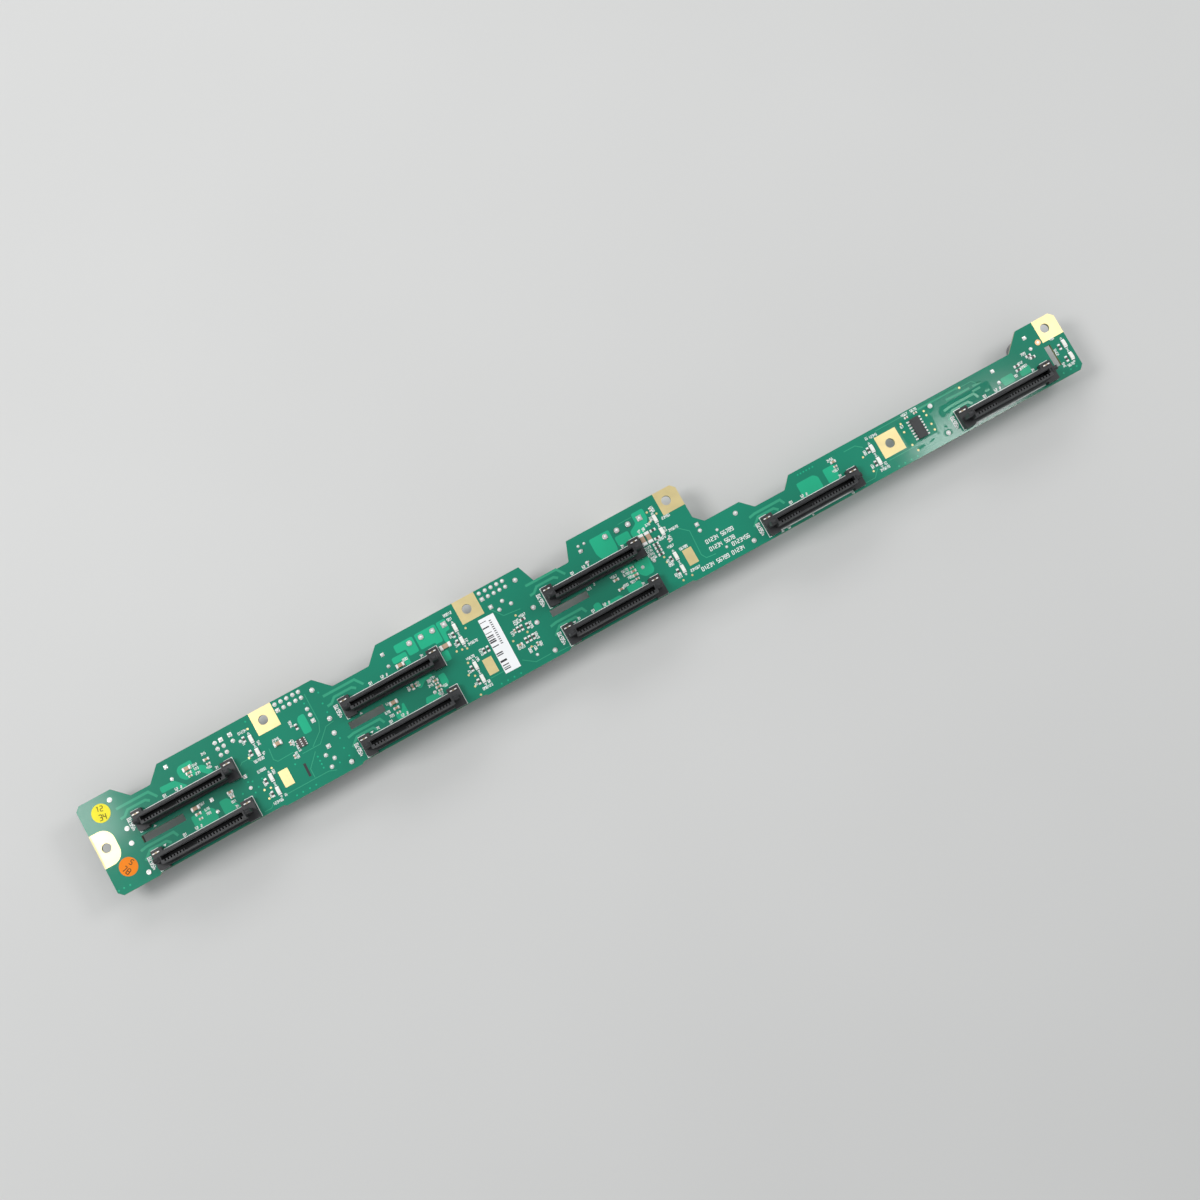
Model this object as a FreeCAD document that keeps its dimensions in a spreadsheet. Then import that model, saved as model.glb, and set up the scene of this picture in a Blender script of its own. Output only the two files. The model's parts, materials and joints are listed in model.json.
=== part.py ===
"""Drive backplane board: a long narrow circuit board that eight 2.5 inch drives plug into.

Frame: +Z points out of the drive side of the board, +X runs along the board from the end with the
half-round ground pad to the end with the raised corner tab, and Z = 0 is the plane on which the
tallest parts of the rear side stand.  Inside each sub-part, x and y start at the board's lower left
corner; every Placement then moves that corner so that the board is centred on the origin.
All sizes are in millimetres and live in the spreadsheet called sizes.
"""
import FreeCAD, Part
import os
import Sketcher

document = FreeCAD.newDocument("drive_backplane_board")
vector = FreeCAD.Vector

# ------------------------------------------------------------------ driving dimensions
BOARD = {
    "board_depth": 38.05,       # along Y, over the three double columns
    "board_thickness": 1.6,
    "end_margin": 12.09,        # board beyond the last socket
    "narrow_depth": 19.1,       # board depth over the two single columns
    "tab_depth": 26.0,          # board depth over the raised corner tab
    "tab_length": 16.9,
    "tab_slope_run": 7.0,
    "wide_past_column": 65.65,  # the full depth runs this far past the third column's start
    "step_run": 3.5,            # slanted inner corner below the end of the wide part
    "corner_cut": 1.8,          # 45 degree cut on the outer corners
    "relief_depth": 0.7,        # shallow relief of the lower edge below the sockets
    "relief_slope": 1.2,
    "notch_radius": 1.0,
}
# A feature beside a column is given by the column's number and by its offset from the left end
# of that column's sockets.  Edge notches: mouth and floor of each, and its depth.
NOTCHES = {
    "notch_first": {"beside": 0, "mouth_start": -3.14, "floor_start": 2.71, "floor_end": 11.01,
                    "mouth_end": 16.61, "depth": 5.85},
    "notch_second": {"beside": 1, "mouth_start": -5.42, "floor_start": 0.58, "floor_end": 16.28,
                     "mouth_end": 22.28, "depth": 6.05},
    "notch_third": {"beside": 2, "mouth_start": -3.35, "floor_start": -0.45, "floor_end": 14.75,
                    "mouth_end": 17.75, "depth": 7.75},
    "notch_fourth": {"beside": 3, "mouth_start": -3.98, "floor_start": 0.62, "floor_end": 14.12,
                     "mouth_end": 18.32, "depth": 4.6},
}
# shallow reliefs of the lower edge
RELIEFS = {
    "relief_first": {"beside": 0, "start": -0.14, "run": 51.95},
    "relief_second": {"beside": 1, "start": -2.22, "run": 52.5},
    "relief_third": {"beside": 2, "start": -0.35, "run": 54.0},
}
# air slots cut through the board
SLOTS = {
    "slot_first": {"beside": 0, "offset": -0.89, "length": 17.75, "low": 13.7, "width": 2.9},
    "slot_second": {"beside": 1, "offset": -0.82, "length": 14.9, "low": 13.7, "width": 2.9},
    "slot_third": {"beside": 2, "offset": -0.95, "length": 16.3, "low": 14.5, "width": 2.8},
    "slot_fourth": {"beside": 4, "offset": 44.69, "length": 2.7, "low": 5.4, "width": 9.3},
}
SOCKET = {
    "column_pitch": 88.53,      # from one drive column to the next
    "row_pitch": 16.8,          # from the lower to the upper drive of a column
    "socket_left": 18.29,       # lower left corner of the first socket
    "socket_low": 0.95,
    "socket_length": 42.7,
    "socket_depth": 8.3,        # over the end blocks
    "block_width": 4.4,         # left end block, along X
    "far_block_width": 4.7,
    "flange_front": 0.75,       # the flange stands back from the end blocks
    "flange_back": 6.55,
    "block_height": 3.6,
    "block_cut": 1.0,           # rounded-off corner of the left end block
    "bar_left": 3.4,            # the tall bar with the mating slot
    "bar_right": 38.8,
    "bar_front": 1.55,
    "bar_back": 4.9,
    "bar_height": 10.7,
    "mouth_left": 3.95,         # mating slot
    "mouth_right": 38.1,
    "mouth_front": 2.75,
    "mouth_back": 4.3,
    "mouth_floor": 3.6,
    "mouth_chamfer": 0.3,
    "key_left": 13.3,           # wider stretch between the signal and power contacts
    "key_right": 18.6,
    "key_depth": 0.8,
    "contact_pitch": 1.27,
    "contact_first": 5.16,      # first signal contact
    "power_first": 19.13,       # first power contact
    "cell_width": 0.6,
    "cell_depth": 0.85,
    "blade_width": 0.42,
    "blade_thickness": 0.22,
    "blade_gap": 0.12,          # air behind the blade in its cell
    "blade_below_mouth": 3.0,   # blades end well below the opening
    "fine_pitch": 0.8,
    "fine_first": 13.6,
    "fine_width": 0.4,
    "fine_slit": 0.35,
    "post_left": 0.9,           # guide post at the left end, beside the bar
    "post_right": 41.2,         # outer face of the right guide post
    "post_front": 2.75,
    "post_back": 4.4,
    "post_height": 12.0,
    "post_chamfer": 0.7,
    "clip_inset": 1.85,         # centre of the left hold-down from the left end
    "clip_inset_right": 2.25,
    "clip_line": 6.95,          # hold-downs stand on this line
    "clip_width": 3.0,
    "clip_thickness": 0.5,
    "clip_rise": 0.35,          # above the end block
    "clip_notch": 1.1,          # width of the window between the two legs
    "clip_clearance": 0.1,
}
GROUND = {
    "screw_radius": 1.9,       # mounting holes
    "pad_side": 9.5,
    "pad_thickness": 0.05,
    "pad_shift": 0.5,           # pads sit a little right of their holes
    "row_screw_drop": 4.7,      # holes of the double columns below the board's upper edge
    "row_screw_offset": 59.91,  # and past the column's start
    "single_screw_offset": 59.97,
    "single_screw_line": 10.85,
    "tab_screw_inset": 5.8,
    "tab_screw_drop": 4.6,
    "edge_screw_column": 4.05,
    "edge_screw_line": 18.9,
    "edge_pad_width": 8.45,     # pad on the left edge, round at its inner end
    "edge_pad_depth": 13.8,
    "edge_pad_radius": 4.8,
    "plain_pad_offset": 55.46,   # rectangular ground pads without a hole
    "plain_pad_low": 6.2,
    "plain_pad_width": 4.0,
    "plain_pad_depth": 6.7,
}
SURFACE = {
    "light_offset": 52.51,     # two status lights beside each drive
    "light_high": 29.05,
    "light_low": 23.35,
    "light_row_pitch": 16.75,
    "light_width": 1.5,
    "light_length": 3.4,
    "light_height": 0.9,
    "small_length": 2.2,        # small chip parts, body and terminals
    "small_width": 0.85,
    "small_height": 0.5,
    "tiny_length": 1.4,
    "tiny_width": 0.6,
    "tiny_height": 0.4,
    "large_length": 3.3,
    "large_width": 1.5,
    "large_height": 1.1,
    "fuse_length": 4.6,
    "fuse_width": 1.8,
    "fuse_height": 0.9,
    "network_width": 1.6,
    "network_length": 3.4,
    "network_height": 0.6,
    "chip_offset": 70.82,
    "chip_low": 6.42,
    "chip_width": 3.9,
    "chip_length": 8.65,
    "chip_height": 1.5,
    "chip_standoff": 0.15,
    "lead_pitch": 1.27,
    "lead_width": 0.42,
    "lead_reach": 1.05,
    "lead_foot": 0.55,
    "lead_thickness": 0.2,
    "lead_height": 0.8,
    "label_thickness": 0.1,
    "dot_radius": 3.65,
    "dot_column": 8.1,
    "dot_drop": 6.45,
    "dot_low": 8.7,
    "serial_offset": 61.13,
    "serial_drop": 34.15,       # lower edge below the board's upper edge
    "serial_width": 6.6,
    "serial_length": 23.3,
    "serial_turn": -0.8,        # degrees
}
REAR = {
    "can_radius": 5.0,          # electrolytic capacitors, the tallest parts of the rear side
    "can_height": 12.5,
    "lead_spacing": 5.08,
    "lead_side": 0.6,
    "hole_clearance": 0.1,
    "pin_show": 0.6,            # pins and leads stand out of the drive side by this much
    "signal_length": 16.6,      # seven-contact data headers
    "signal_width": 5.2,
    "signal_height": 8.4,
    "signal_wall": 0.8,
    "signal_well": 6.5,
    "tongue_length": 10.6,
    "tongue_width": 1.3,
    "tongue_recess": 0.6,
    "signal_key": 1.4,
    "peg_spacing": 12.9,
    "peg_stagger": 1.0,
    "peg_side": 1.1,
    "first_signal_offset": -4.69,
    "signal_offset": -6.67,
    "signal_high": 27.95,
    "signal_low": 9.4,
    "power_length": 23.2,
    "power_width": 8.8,
    "power_height": 11.0,
    "power_wall": 1.2,
    "power_well": 8.4,
    "power_pitch": 5.08,
    "power_pin_side": 1.7,
    "power_chamfer": 2.2,
    "pin_pitch": 2.54,
    "pin_side": 0.64,
    "strip_height": 2.5,
    "strip_pin_drop": 8.5,
    "sensor_length": 12.6,
    "sensor_width": 6.2,
    "sensor_height": 8.6,
    "sensor_wall": 0.9,
    "sensor_well": 6.4,
}
# middle of the two leads of each electrolytic capacitor and the way the leads are spread
CANS = {
    "can_first": {"beside": 0, "offset": 19.11, "line": 32.6, "along": "y"},
    "can_second": {"beside": 1, "offset": 22.88, "line": 30.7, "along": "y"},
    "can_third": {"beside": 2, "offset": 21.55, "line": 29.35, "along": "y"},
    "can_fourth": {"beside": 0, "offset": 28.66, "line": 13.25, "along": "y"},
    "can_fifth": {"beside": 1, "offset": 33.73, "line": 13.25, "along": "y"},
    "can_sixth": {"beside": 0, "offset": 43.86, "line": 14.95, "along": "y"},
    "can_seventh": {"beside": 2, "offset": 41.7, "line": 14.7, "along": "x"},
    "can_eighth": {"beside": 4, "offset": 21.64, "line": 13.7, "along": "y"},
    "can_ninth": {"beside": 4, "offset": 39.69, "line": 19.25, "along": "y"},
}
# pin strips of the rear side: lower left pin, columns and rows
STRIPS = {
    "ribbon_first": {"beside": 0, "offset": 66.38, "line": 33.75, "across": 5, "up": 2},
    "ribbon_second": {"beside": 1, "offset": 66.88, "line": 33.75, "across": 5, "up": 2},
    "fan_strip": {"beside": 0, "offset": 76.51, "line": 23.8, "across": 1, "up": 3},
    "option_block": {"beside": 0, "offset": 39.69, "line": 29.25, "across": 2, "up": 3},
    "option_pair": {"beside": 0, "offset": 46.01, "line": 31.8, "across": 1, "up": 2},
    "lock_pair": {"beside": 2, "offset": 65.65, "line": 16.55, "across": 1, "up": 2},
}
# four-pin sensor headers with zigzag pins: first pin, and the way the row runs
SENSORS = {
    "sensor_first": {"beside": 0, "offset": 74.51, "line": 4.75, "along": "y"},
    "sensor_second": {"beside": 1, "offset": 68.38, "line": 26.9, "along": "x"},
}
POWERS = {
    "power_one": {"beside": 1, "offset": 34.13, "line": 32.3},
    "power_two": {"beside": 2, "offset": 32.0, "line": 32.2},
}
# small parts of the drive side: column, offset and height of the centre, way of the long side
SMALL_RESISTORS = [
    (0, 50.01, 30.2, "y"), (0, 50.01, 24.3, "y"), (0, 50.01, 12.0, "y"), (0, 50.01, 6.5, "y"),
    (1, 50.63, 26.9, "y"), (1, 50.63, 23.5, "y"), (1, 50.63, 12.0, "y"), (1, 50.63, 6.3, "y"),
    (2, 50.35, 12.1, "y"), (2, 50.35, 6.5, "y"), (3, 50.92, 12.4, "y"), (3, 50.92, 6.4, "y"),
    (4, 50.29, 11.9, "y"), (4, 50.29, 6.4, "y"), (0, 69.76, 24.8, "y"), (1, 58.08, 15.8, "y"),
    (1, 59.78, 15.8, "y"), (1, 73.58, 16.7, "y"), (1, 75.13, 16.7, "y"), (2, -11.1, 16.3, "y"),
    (2, -11.65, 19.4, "x"), (1, 74.28, 11.5, "y"), (1, 75.93, 11.5, "y"), (2, -11.05, 11.5, "y"),
    (2, 49.55, 25.6, "x"), (2, 49.55, 22.0, "x"), (2, 47.95, 20.2, "x"), (2, 47.95, 18.75, "x"),
    (2, 47.95, 17.3, "x"), (2, 47.95, 15.75, "x"), (4, 31.19, 13.5, "x"), (4, 31.09, 11.7, "x"),
    (4, 38.69, 13.5, "x"), (4, 37.39, 14.8, "x"),
]
SMALL_CAPACITORS = [
    (0, 25.81, 29.05, "x"), (0, 33.96, 30.5, "x"), (0, 21.91, 13.55, "x"), (0, 36.11, 15.0, "x"),
    (1, 18.13, 12.7, "x"), (1, 27.38, 16.8, "y"), (1, 36.13, 14.8, "x"), (1, 36.13, 12.1, "x"),
    (1, 71.28, 11.2, "x"), (2, 27.55, 15.3, "x"), (2, 27.55, 11.2, "x"), (2, 35.15, 15.1, "x"),
    (2, 35.15, 13.4, "x"), (3, 36.42, 15.1, "x"),
]
TINY_CAPACITORS = [
    (0, 25.91, 27.75, "x"), (0, 34.01, 28.65, "x"), (0, 22.01, 11.5, "x"), (0, 36.11, 12.95, "x"),
    (1, 18.13, 10.8, "x"), (1, 28.93, 16.9, "y"), (1, 36.13, 13.5, "x"), (1, 36.13, 10.65, "x"),
    (0, 64.91, 20.3, "y"), (0, 64.01, 15.0, "y"), (1, 72.08, 16.8, "y"), (2, -11.05, 8.2, "y"),
    (2, 35.25, 16.7, "x"), (2, 35.15, 11.8, "x"), (2, 52.55, 33.2, "y"), (2, 53.25, 19.0, "y"),
    (3, 36.32, 13.1, "x"), (3, 70.62, 16.6, "x"), (3, 74.72, 16.6, "x"),
]
LARGE_CAPACITORS = [
    (0, 25.91, 30.9, "x"), (0, 21.91, 15.9, "x"), (0, 60.61, 22.6, "x"), (1, 18.08, 15.1, "x"),
    (1, 27.13, 26.5, "x"),
]
FUSES = [
    (1, 45.78, 24.6, "x"), (2, 44.25, 24.0, "y"), (2, 46.8, 23.9, "y"),
]
NETWORKS = [
    (0, 67.81, 18.5, "y"), (0, 69.66, 18.5, "y"),
]

# ------------------------------------------------------------------ spreadsheet
sizes = document.addObject("Spreadsheet::Sheet", "sizes")


def fill_sheet():
    """Write every named size into the sheet, one row each."""
    tables = [BOARD, SOCKET, GROUND, SURFACE, REAR]
    named = {}
    for table in tables:
        named.update(table)
    for group in (NOTCHES, RELIEFS, SLOTS, CANS, STRIPS, SENSORS, POWERS):
        for name, values in group.items():
            for word, value in values.items():
                if word not in ("beside", "along", "across", "up"):
                    named[f"{name}_{word}"] = value
    for row, (alias, value) in enumerate(named.items(), start=1):
        sizes.set(f"A{row}", alias)
        sizes.set(f"B{row}", str(value))
        sizes.setAlias(f"B{row}", alias)
    document.recompute()
    return sorted(named, key=len, reverse=True)


ALIASES = fill_sheet()


def bound(text):
    """Turn a formula written with bare size names into one that reads the sheet."""
    words = []
    for word in str(text).replace("(", " ( ").replace(")", " ) ").split():
        words.append(f"sizes.{word}" if word in ALIASES else word)
    return " ".join(words)


def value_of(text):
    """The formula's present value, worked out from the same sheet."""
    words = []
    for word in str(text).replace("(", " ( ").replace(")", " ) ").split():
        words.append(word)
    total = sizes.evalExpression(bound(" ".join(words)))
    return float(total)


def column(number):
    """Left end of a column's sockets."""
    return f"( socket_left + {number} * column_pitch )"


LAST_COLUMN = 4
BOARD_END = f"( {column(LAST_COLUMN)} + socket_length + end_margin )"
WIDE_END = f"( {column(2)} + wide_past_column )"
TAB_RISE_END = f"( {BOARD_END} - tab_length )"
TAB_RISE_START = f"( {TAB_RISE_END} - tab_slope_run )"


def spot(table, name):
    """Board x of a named feature that stands beside a column."""
    return f"{column(table[name]['beside'])} + {name}_offset"


# ------------------------------------------------------------------ helpers
def bind(thing, **formulas):
    """Bind properties to formulas; a double underscore stands for a dot."""
    for name, text in formulas.items():
        thing.setExpression(name.replace("__", "."), bound(text))


def place(thing, x="0", y="0", z="0"):
    """Put a sub-part's own origin at x, y, z counted from the board's lower left top corner."""
    bind(thing,
         Placement__Base__x=f"{x} - {BOARD_END} / 2",
         Placement__Base__y=f"{y} - board_depth / 2",
         Placement__Base__z=f"{z} + can_height + board_thickness")


def new_body(label):
    body = document.addObject("PartDesign::Body", label)
    body.Label = label
    return body


def plane_of(body, role):
    return [item for item in body.Origin.OriginFeatures if item.Role == role][0]


def new_sketch(body, name, role="XY_Plane", height=None):
    """A sketch on one of the body's own planes, lifted by a bound height."""
    sketch = body.newObject("Sketcher::SketchObject", name)
    sketch.AttachmentSupport = [(plane_of(body, role), "")]
    sketch.MapMode = "FlatFace"
    if height is not None:
        bind(sketch, AttachmentOffset__Base__z=height)
    return sketch


def pin_point(sketch, geometry, which, x, y, tag):
    """Hold a point of the sketch at two bound distances from the origin."""
    for axis, text, kind in ((-2, x, "DistanceX"), (-1, y, "DistanceY")):
        if text == "0":
            sketch.addConstraint(Sketcher.Constraint("PointOnObject", geometry, which, axis))
            continue
        index = sketch.addConstraint(
            Sketcher.Constraint(kind, -1, 1, geometry, which, value_of(text)))
        name = f"{kind}_{tag}"
        sketch.renameConstraint(index, name)
        sketch.setExpression(f"Constraints.{name}", bound(text))


def closed_outline(sketch, points, tag="p"):
    """Straight edges through the points, each point a pair of formulas."""
    corners = [vector(value_of(x), value_of(y), 0) for x, y in points]
    first = sketch.GeometryCount
    for start, end in zip(corners, corners[1:] + corners[:1]):
        sketch.addGeometry(Part.LineSegment(start, end), False)
    for number, (x, y) in enumerate(points):
        following = first + (number + 1) % len(points)
        sketch.addConstraint(Sketcher.Constraint("Coincident", first + number, 2, following, 1))
        pin_point(sketch, first + number, 1, x, y, f"{tag}{number}")
    return sketch


def rectangle(sketch, left, right, low, high, tag="r"):
    return closed_outline(sketch, [(left, low), (right, low), (right, high), (left, high)], tag)


def circle(sketch, x, y, radius, tag):
    centre = vector(value_of(x), value_of(y), 0)
    number = sketch.addGeometry(Part.Circle(centre, vector(0, 0, 1), value_of(radius)), False)
    pin_point(sketch, number, 3, x, y, tag)
    index = sketch.addConstraint(Sketcher.Constraint("Radius", number, value_of(radius)))
    sketch.renameConstraint(index, f"radius_{tag}")
    sketch.setExpression(f"Constraints.radius_{tag}", bound(radius))


def pad(body, sketch, length, reverse=False):
    feature = body.newObject("PartDesign::Pad", f"{sketch.Name}_pad")
    feature.Profile = sketch
    feature.Reversed = reverse
    bind(feature, Length=length)
    document.recompute()
    return feature


def pocket(body, sketch, depth, reverse=False):
    """Cut downwards from the sketch; raise if nothing was cut."""
    before = body.Shape.Volume
    feature = body.newObject("PartDesign::Pocket", f"{sketch.Name}_pocket")
    feature.Profile = sketch
    feature.Reversed = reverse
    bind(feature, Length=depth)
    document.recompute()
    if body.Shape.Volume >= before:
        raise RuntimeError(f"{feature.Name} cuts nothing")
    return feature


def row_of(body, feature, sketch, pitch, count):
    """Repeat a feature along X."""
    pattern = body.newObject("PartDesign::LinearPattern", f"{feature.Name}_row")
    pattern.Originals = [feature]
    pattern.Direction = (sketch, ["H_Axis"])
    pattern.Occurrences = count
    bind(pattern, Length=f"{pitch} * {count - 1}")
    body.Tip = pattern
    document.recompute()
    return pattern


def upright_edges(shape, spots):
    """Names of the vertical edges that stand at the given x, y spots."""
    names = []
    for number, edge in enumerate(shape.Edges, start=1):
        ends = [vertex.Point for vertex in edge.Vertexes]
        if len(ends) != 2 or abs(ends[0].z - ends[1].z) < 0.01:
            continue
        for x, y in spots:
            if all(abs(end.x - x) < 0.01 and abs(end.y - y) < 0.01 for end in ends):
                names.append(f"Edge{number}")
    return names


def round_edges(body, name, spots, radius):
    """Fillet the upright edges at the given spots."""
    base = body.Tip
    feature = body.newObject("PartDesign::Fillet", name)
    places = [(value_of(x), value_of(y)) for x, y in spots]
    feature.Base = (base, upright_edges(base.Shape, places))
    bind(feature, Radius=radius)
    document.recompute()
    if feature.Shape.isNull() or not feature.Shape.isValid():
        raise RuntimeError(f"{name} can't be rounded")
    return feature


def block(name, size, corner):
    """A box whose three sizes and lower corner are formulas in the board's own x, y, z."""
    box = document.addObject("Part::Box", name)
    bind(box, Length=size[0], Width=size[1], Height=size[2],
         Placement__Base__x=corner[0], Placement__Base__y=corner[1], Placement__Base__z=corner[2])
    return box


def group(label, members):
    """Separate solids that share one node."""
    compound = document.addObject("Part::Compound", label)
    compound.Label = label
    compound.Links = members
    return compound


SUBPARTS = []


def keep(thing):
    SUBPARTS.append(thing)
    return thing


# ------------------------------------------------------------------ where pins pass the board
def strip_pins(name):
    """Pin centres of one strip, as formulas."""
    strip = STRIPS[name]
    spots = []
    for across in range(strip["across"]):
        for up in range(strip["up"]):
            spots.append((f"{spot(STRIPS, name)} + {across} * pin_pitch",
                          f"{name}_line + {up} * pin_pitch"))
    return spots


def sensor_pins(name):
    """Four pins in a row, every second one set over by a pitch."""
    spots = []
    for number in range(4):
        along = f"{number} * pin_pitch"
        over = f"{number % 2} * pin_pitch"
        if SENSORS[name]["along"] == "y":
            spots.append((f"{spot(SENSORS, name)} + {over}", f"{name}_line + {along}"))
        else:
            spots.append((f"{spot(SENSORS, name)} + {along}",
                          f"{name}_line + {1 - number % 2} * pin_pitch"))
    return spots


def power_pins(name):
    return [(f"{spot(POWERS, name)} + {number} * power_pitch", f"{name}_line")
            for number in range(4)]


def can_leads(name):
    spots = []
    for side in (-1, 1):
        shift = f"{side} * lead_spacing / 2"
        if CANS[name]["along"] == "y":
            spots.append((spot(CANS, name), f"{name}_line + {shift}"))
        else:
            spots.append((f"{spot(CANS, name)} + {shift}", f"{name}_line"))
    return spots


def signal_places():
    """Centre of each data header: the first column stands further right, beside the edge pad."""
    places = []
    for number in range(5):
        x = f"{column(number)} + {'first_signal_offset' if number == 0 else 'signal_offset'}"
        lines = ("signal_low", "signal_high") if number < 3 else ("signal_low",)
        for y in lines:
            places.append((x, y))
    return places


def signal_pegs(x, y):
    return [(f"{x} + {side} * peg_stagger / 2", f"{y} - {side} * peg_spacing / 2")
            for side in (-1, 1)]


def socket_places():
    """Lower left corner of each drive socket, the five lower ones first."""
    places = []
    for row, columns in enumerate((5, 3)):
        for number in range(columns):
            places.append((column(number), f"socket_low + {row} * row_pitch"))
    return places


# ------------------------------------------------------------------ circuit board
def board_outline():
    """Corners of the board, clockwise from the lower left."""
    points = [("0", "corner_cut"), ("0", "board_depth - corner_cut"), ("corner_cut", "board_depth")]
    for name in ("notch_first", "notch_second", "notch_third"):
        points += notch_points(name, "board_depth")
    points += [(f"{WIDE_END} - corner_cut", "board_depth"), (WIDE_END, "board_depth - corner_cut"),
               (WIDE_END, "narrow_depth + step_run"), (f"{WIDE_END} + step_run", "narrow_depth")]
    points += notch_points("notch_fourth", "narrow_depth")
    points += [(TAB_RISE_START, "narrow_depth"), (TAB_RISE_END, "tab_depth"),
               (f"{BOARD_END} - corner_cut", "tab_depth"), (BOARD_END, "tab_depth - corner_cut"),
               (BOARD_END, "corner_cut"), (f"{BOARD_END} - corner_cut", "0")]
    for name in ("relief_third", "relief_second", "relief_first"):
        start = f"{column(RELIEFS[name]['beside'])} + {name}_start"
        end = f"{start} + {name}_run"
        points += [(f"{end} + relief_slope", "0"), (end, "relief_depth"),
                   (start, "relief_depth"), (f"{start} - relief_slope", "0")]
    points.append(("corner_cut", "0"))
    return points


def notch_points(name, edge):
    """Mouth and floor corners of one edge notch, from left to right."""
    start = column(NOTCHES[name]["beside"])
    floor = f"{edge} - {name}_depth"
    return [(f"{start} + {name}_mouth_start", edge), (f"{start} + {name}_floor_start", floor),
            (f"{start} + {name}_floor_end", floor), (f"{start} + {name}_mouth_end", edge)]


def screw_places():
    """Centres of the six mounting holes."""
    places = [("edge_screw_column", "edge_screw_line")]
    for number in range(3):
        places.append((f"{column(number)} + row_screw_offset", "board_depth - row_screw_drop"))
    places.append((f"{column(3)} + single_screw_offset", "single_screw_line"))
    places.append((f"{BOARD_END} - tab_screw_inset", "tab_depth - tab_screw_drop"))
    return places


def circuit_board():
    """Routed glass-fibre board with its notches, air slots, screw holes and pin holes."""
    body = new_body("board_blank")
    outline = new_sketch(body, "board_outline")
    closed_outline(outline, board_outline())
    pad(body, outline, "board_thickness", reverse=True)
    corners = []
    for name in NOTCHES:
        edge = "narrow_depth" if name == "notch_fourth" else "board_depth"
        corners += notch_points(name, edge)[1:3]
    corners += [(WIDE_END, "narrow_depth + step_run"), (f"{WIDE_END} + step_run", "narrow_depth"),
                (TAB_RISE_START, "narrow_depth")]
    round_edges(body, "notch_fillets", corners, "notch_radius")
    slots = new_sketch(body, "air_slots")
    for name in SLOTS:
        left = spot(SLOTS, name)
        rectangle(slots, left, f"{left} + {name}_length", f"{name}_low",
                  f"{name}_low + {name}_width", tag=name)
    for number, (x, y) in enumerate(screw_places()):
        circle(slots, x, y, "screw_radius", f"screw{number}")
    pocket(body, slots, "board_thickness")
    leads = [place for name in CANS for place in can_leads(name)]
    bores = through_bores("lead_bore", leads, "lead_side")
    powers = [place for name in POWERS for place in power_pins(name)]
    bores += through_bores("power_bore", powers, "power_pin_side")
    pegs = [place for x, y in signal_places() for place in signal_pegs(x, y)]
    bores += through_bores("peg_bore", pegs, "peg_side")
    board = document.addObject("Part::Cut", "circuit_board")
    board.Label = "circuit_board"
    board.Base = body
    board.Tool = group("all_bores", bores)
    place(board)
    return keep(board)


def through_bores(stem, spots, side):
    """Square holes, a clearance wider than what passes them."""
    width = f"{side} + 2 * hole_clearance"
    return [block(f"{stem}_{number}", (width, width, "board_thickness * 3"),
                  (f"{x} - ( {width} ) / 2", f"{y} - ( {width} ) / 2", "-2 * board_thickness"))
            for number, (x, y) in enumerate(spots, start=1)]


def ground_pads():
    """Thin gold-plated pads around the screw holes, and three plain ones."""
    body = new_body("ground_pads")
    body.AllowCompound = True
    sketch = new_sketch(body, "pad_outlines")
    holes = screw_places()
    for number in (1, 2):
        left = f"{holes[number][0]} + pad_shift - pad_side / 2"
        rectangle(sketch, left, f"{left} + pad_side", "board_depth - pad_side", "board_depth",
                  f"pad{number}")
    x, y = holes[4]
    rectangle(sketch, f"{x} - pad_side / 2", f"{x} + pad_side / 2",
              f"{y} - pad_side / 2", f"{y} + pad_side / 2", "single")
    for tag, right, top in (("wide", WIDE_END, "board_depth"), ("tab", BOARD_END, "tab_depth")):
        closed_outline(sketch, [
            (f"{right} - pad_side", f"{top} - pad_side"), (right, f"{top} - pad_side"),
            (right, f"{top} - corner_cut"), (f"{right} - corner_cut", top),
            (f"{right} - pad_side", top)], tag)
    for number in range(3):
        left = f"{column(number)} + plain_pad_offset"
        rectangle(sketch, left, f"{left} + plain_pad_width", "plain_pad_low",
                  "plain_pad_low + plain_pad_depth", f"plain{number}")
    low = "edge_screw_line - edge_pad_depth / 2"
    high = "edge_screw_line + edge_pad_depth / 2"
    rectangle(sketch, "0", "edge_pad_width", low, high, "edge")
    for number, (x, y) in enumerate(holes):
        circle(sketch, x, y, "screw_radius", f"hole{number}")
    pad(body, sketch, "pad_thickness")
    round_edges(body, "edge_pad_corners", [("edge_pad_width", low), ("edge_pad_width", high)],
                "edge_pad_radius")
    place(body)
    return keep(body)


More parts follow.
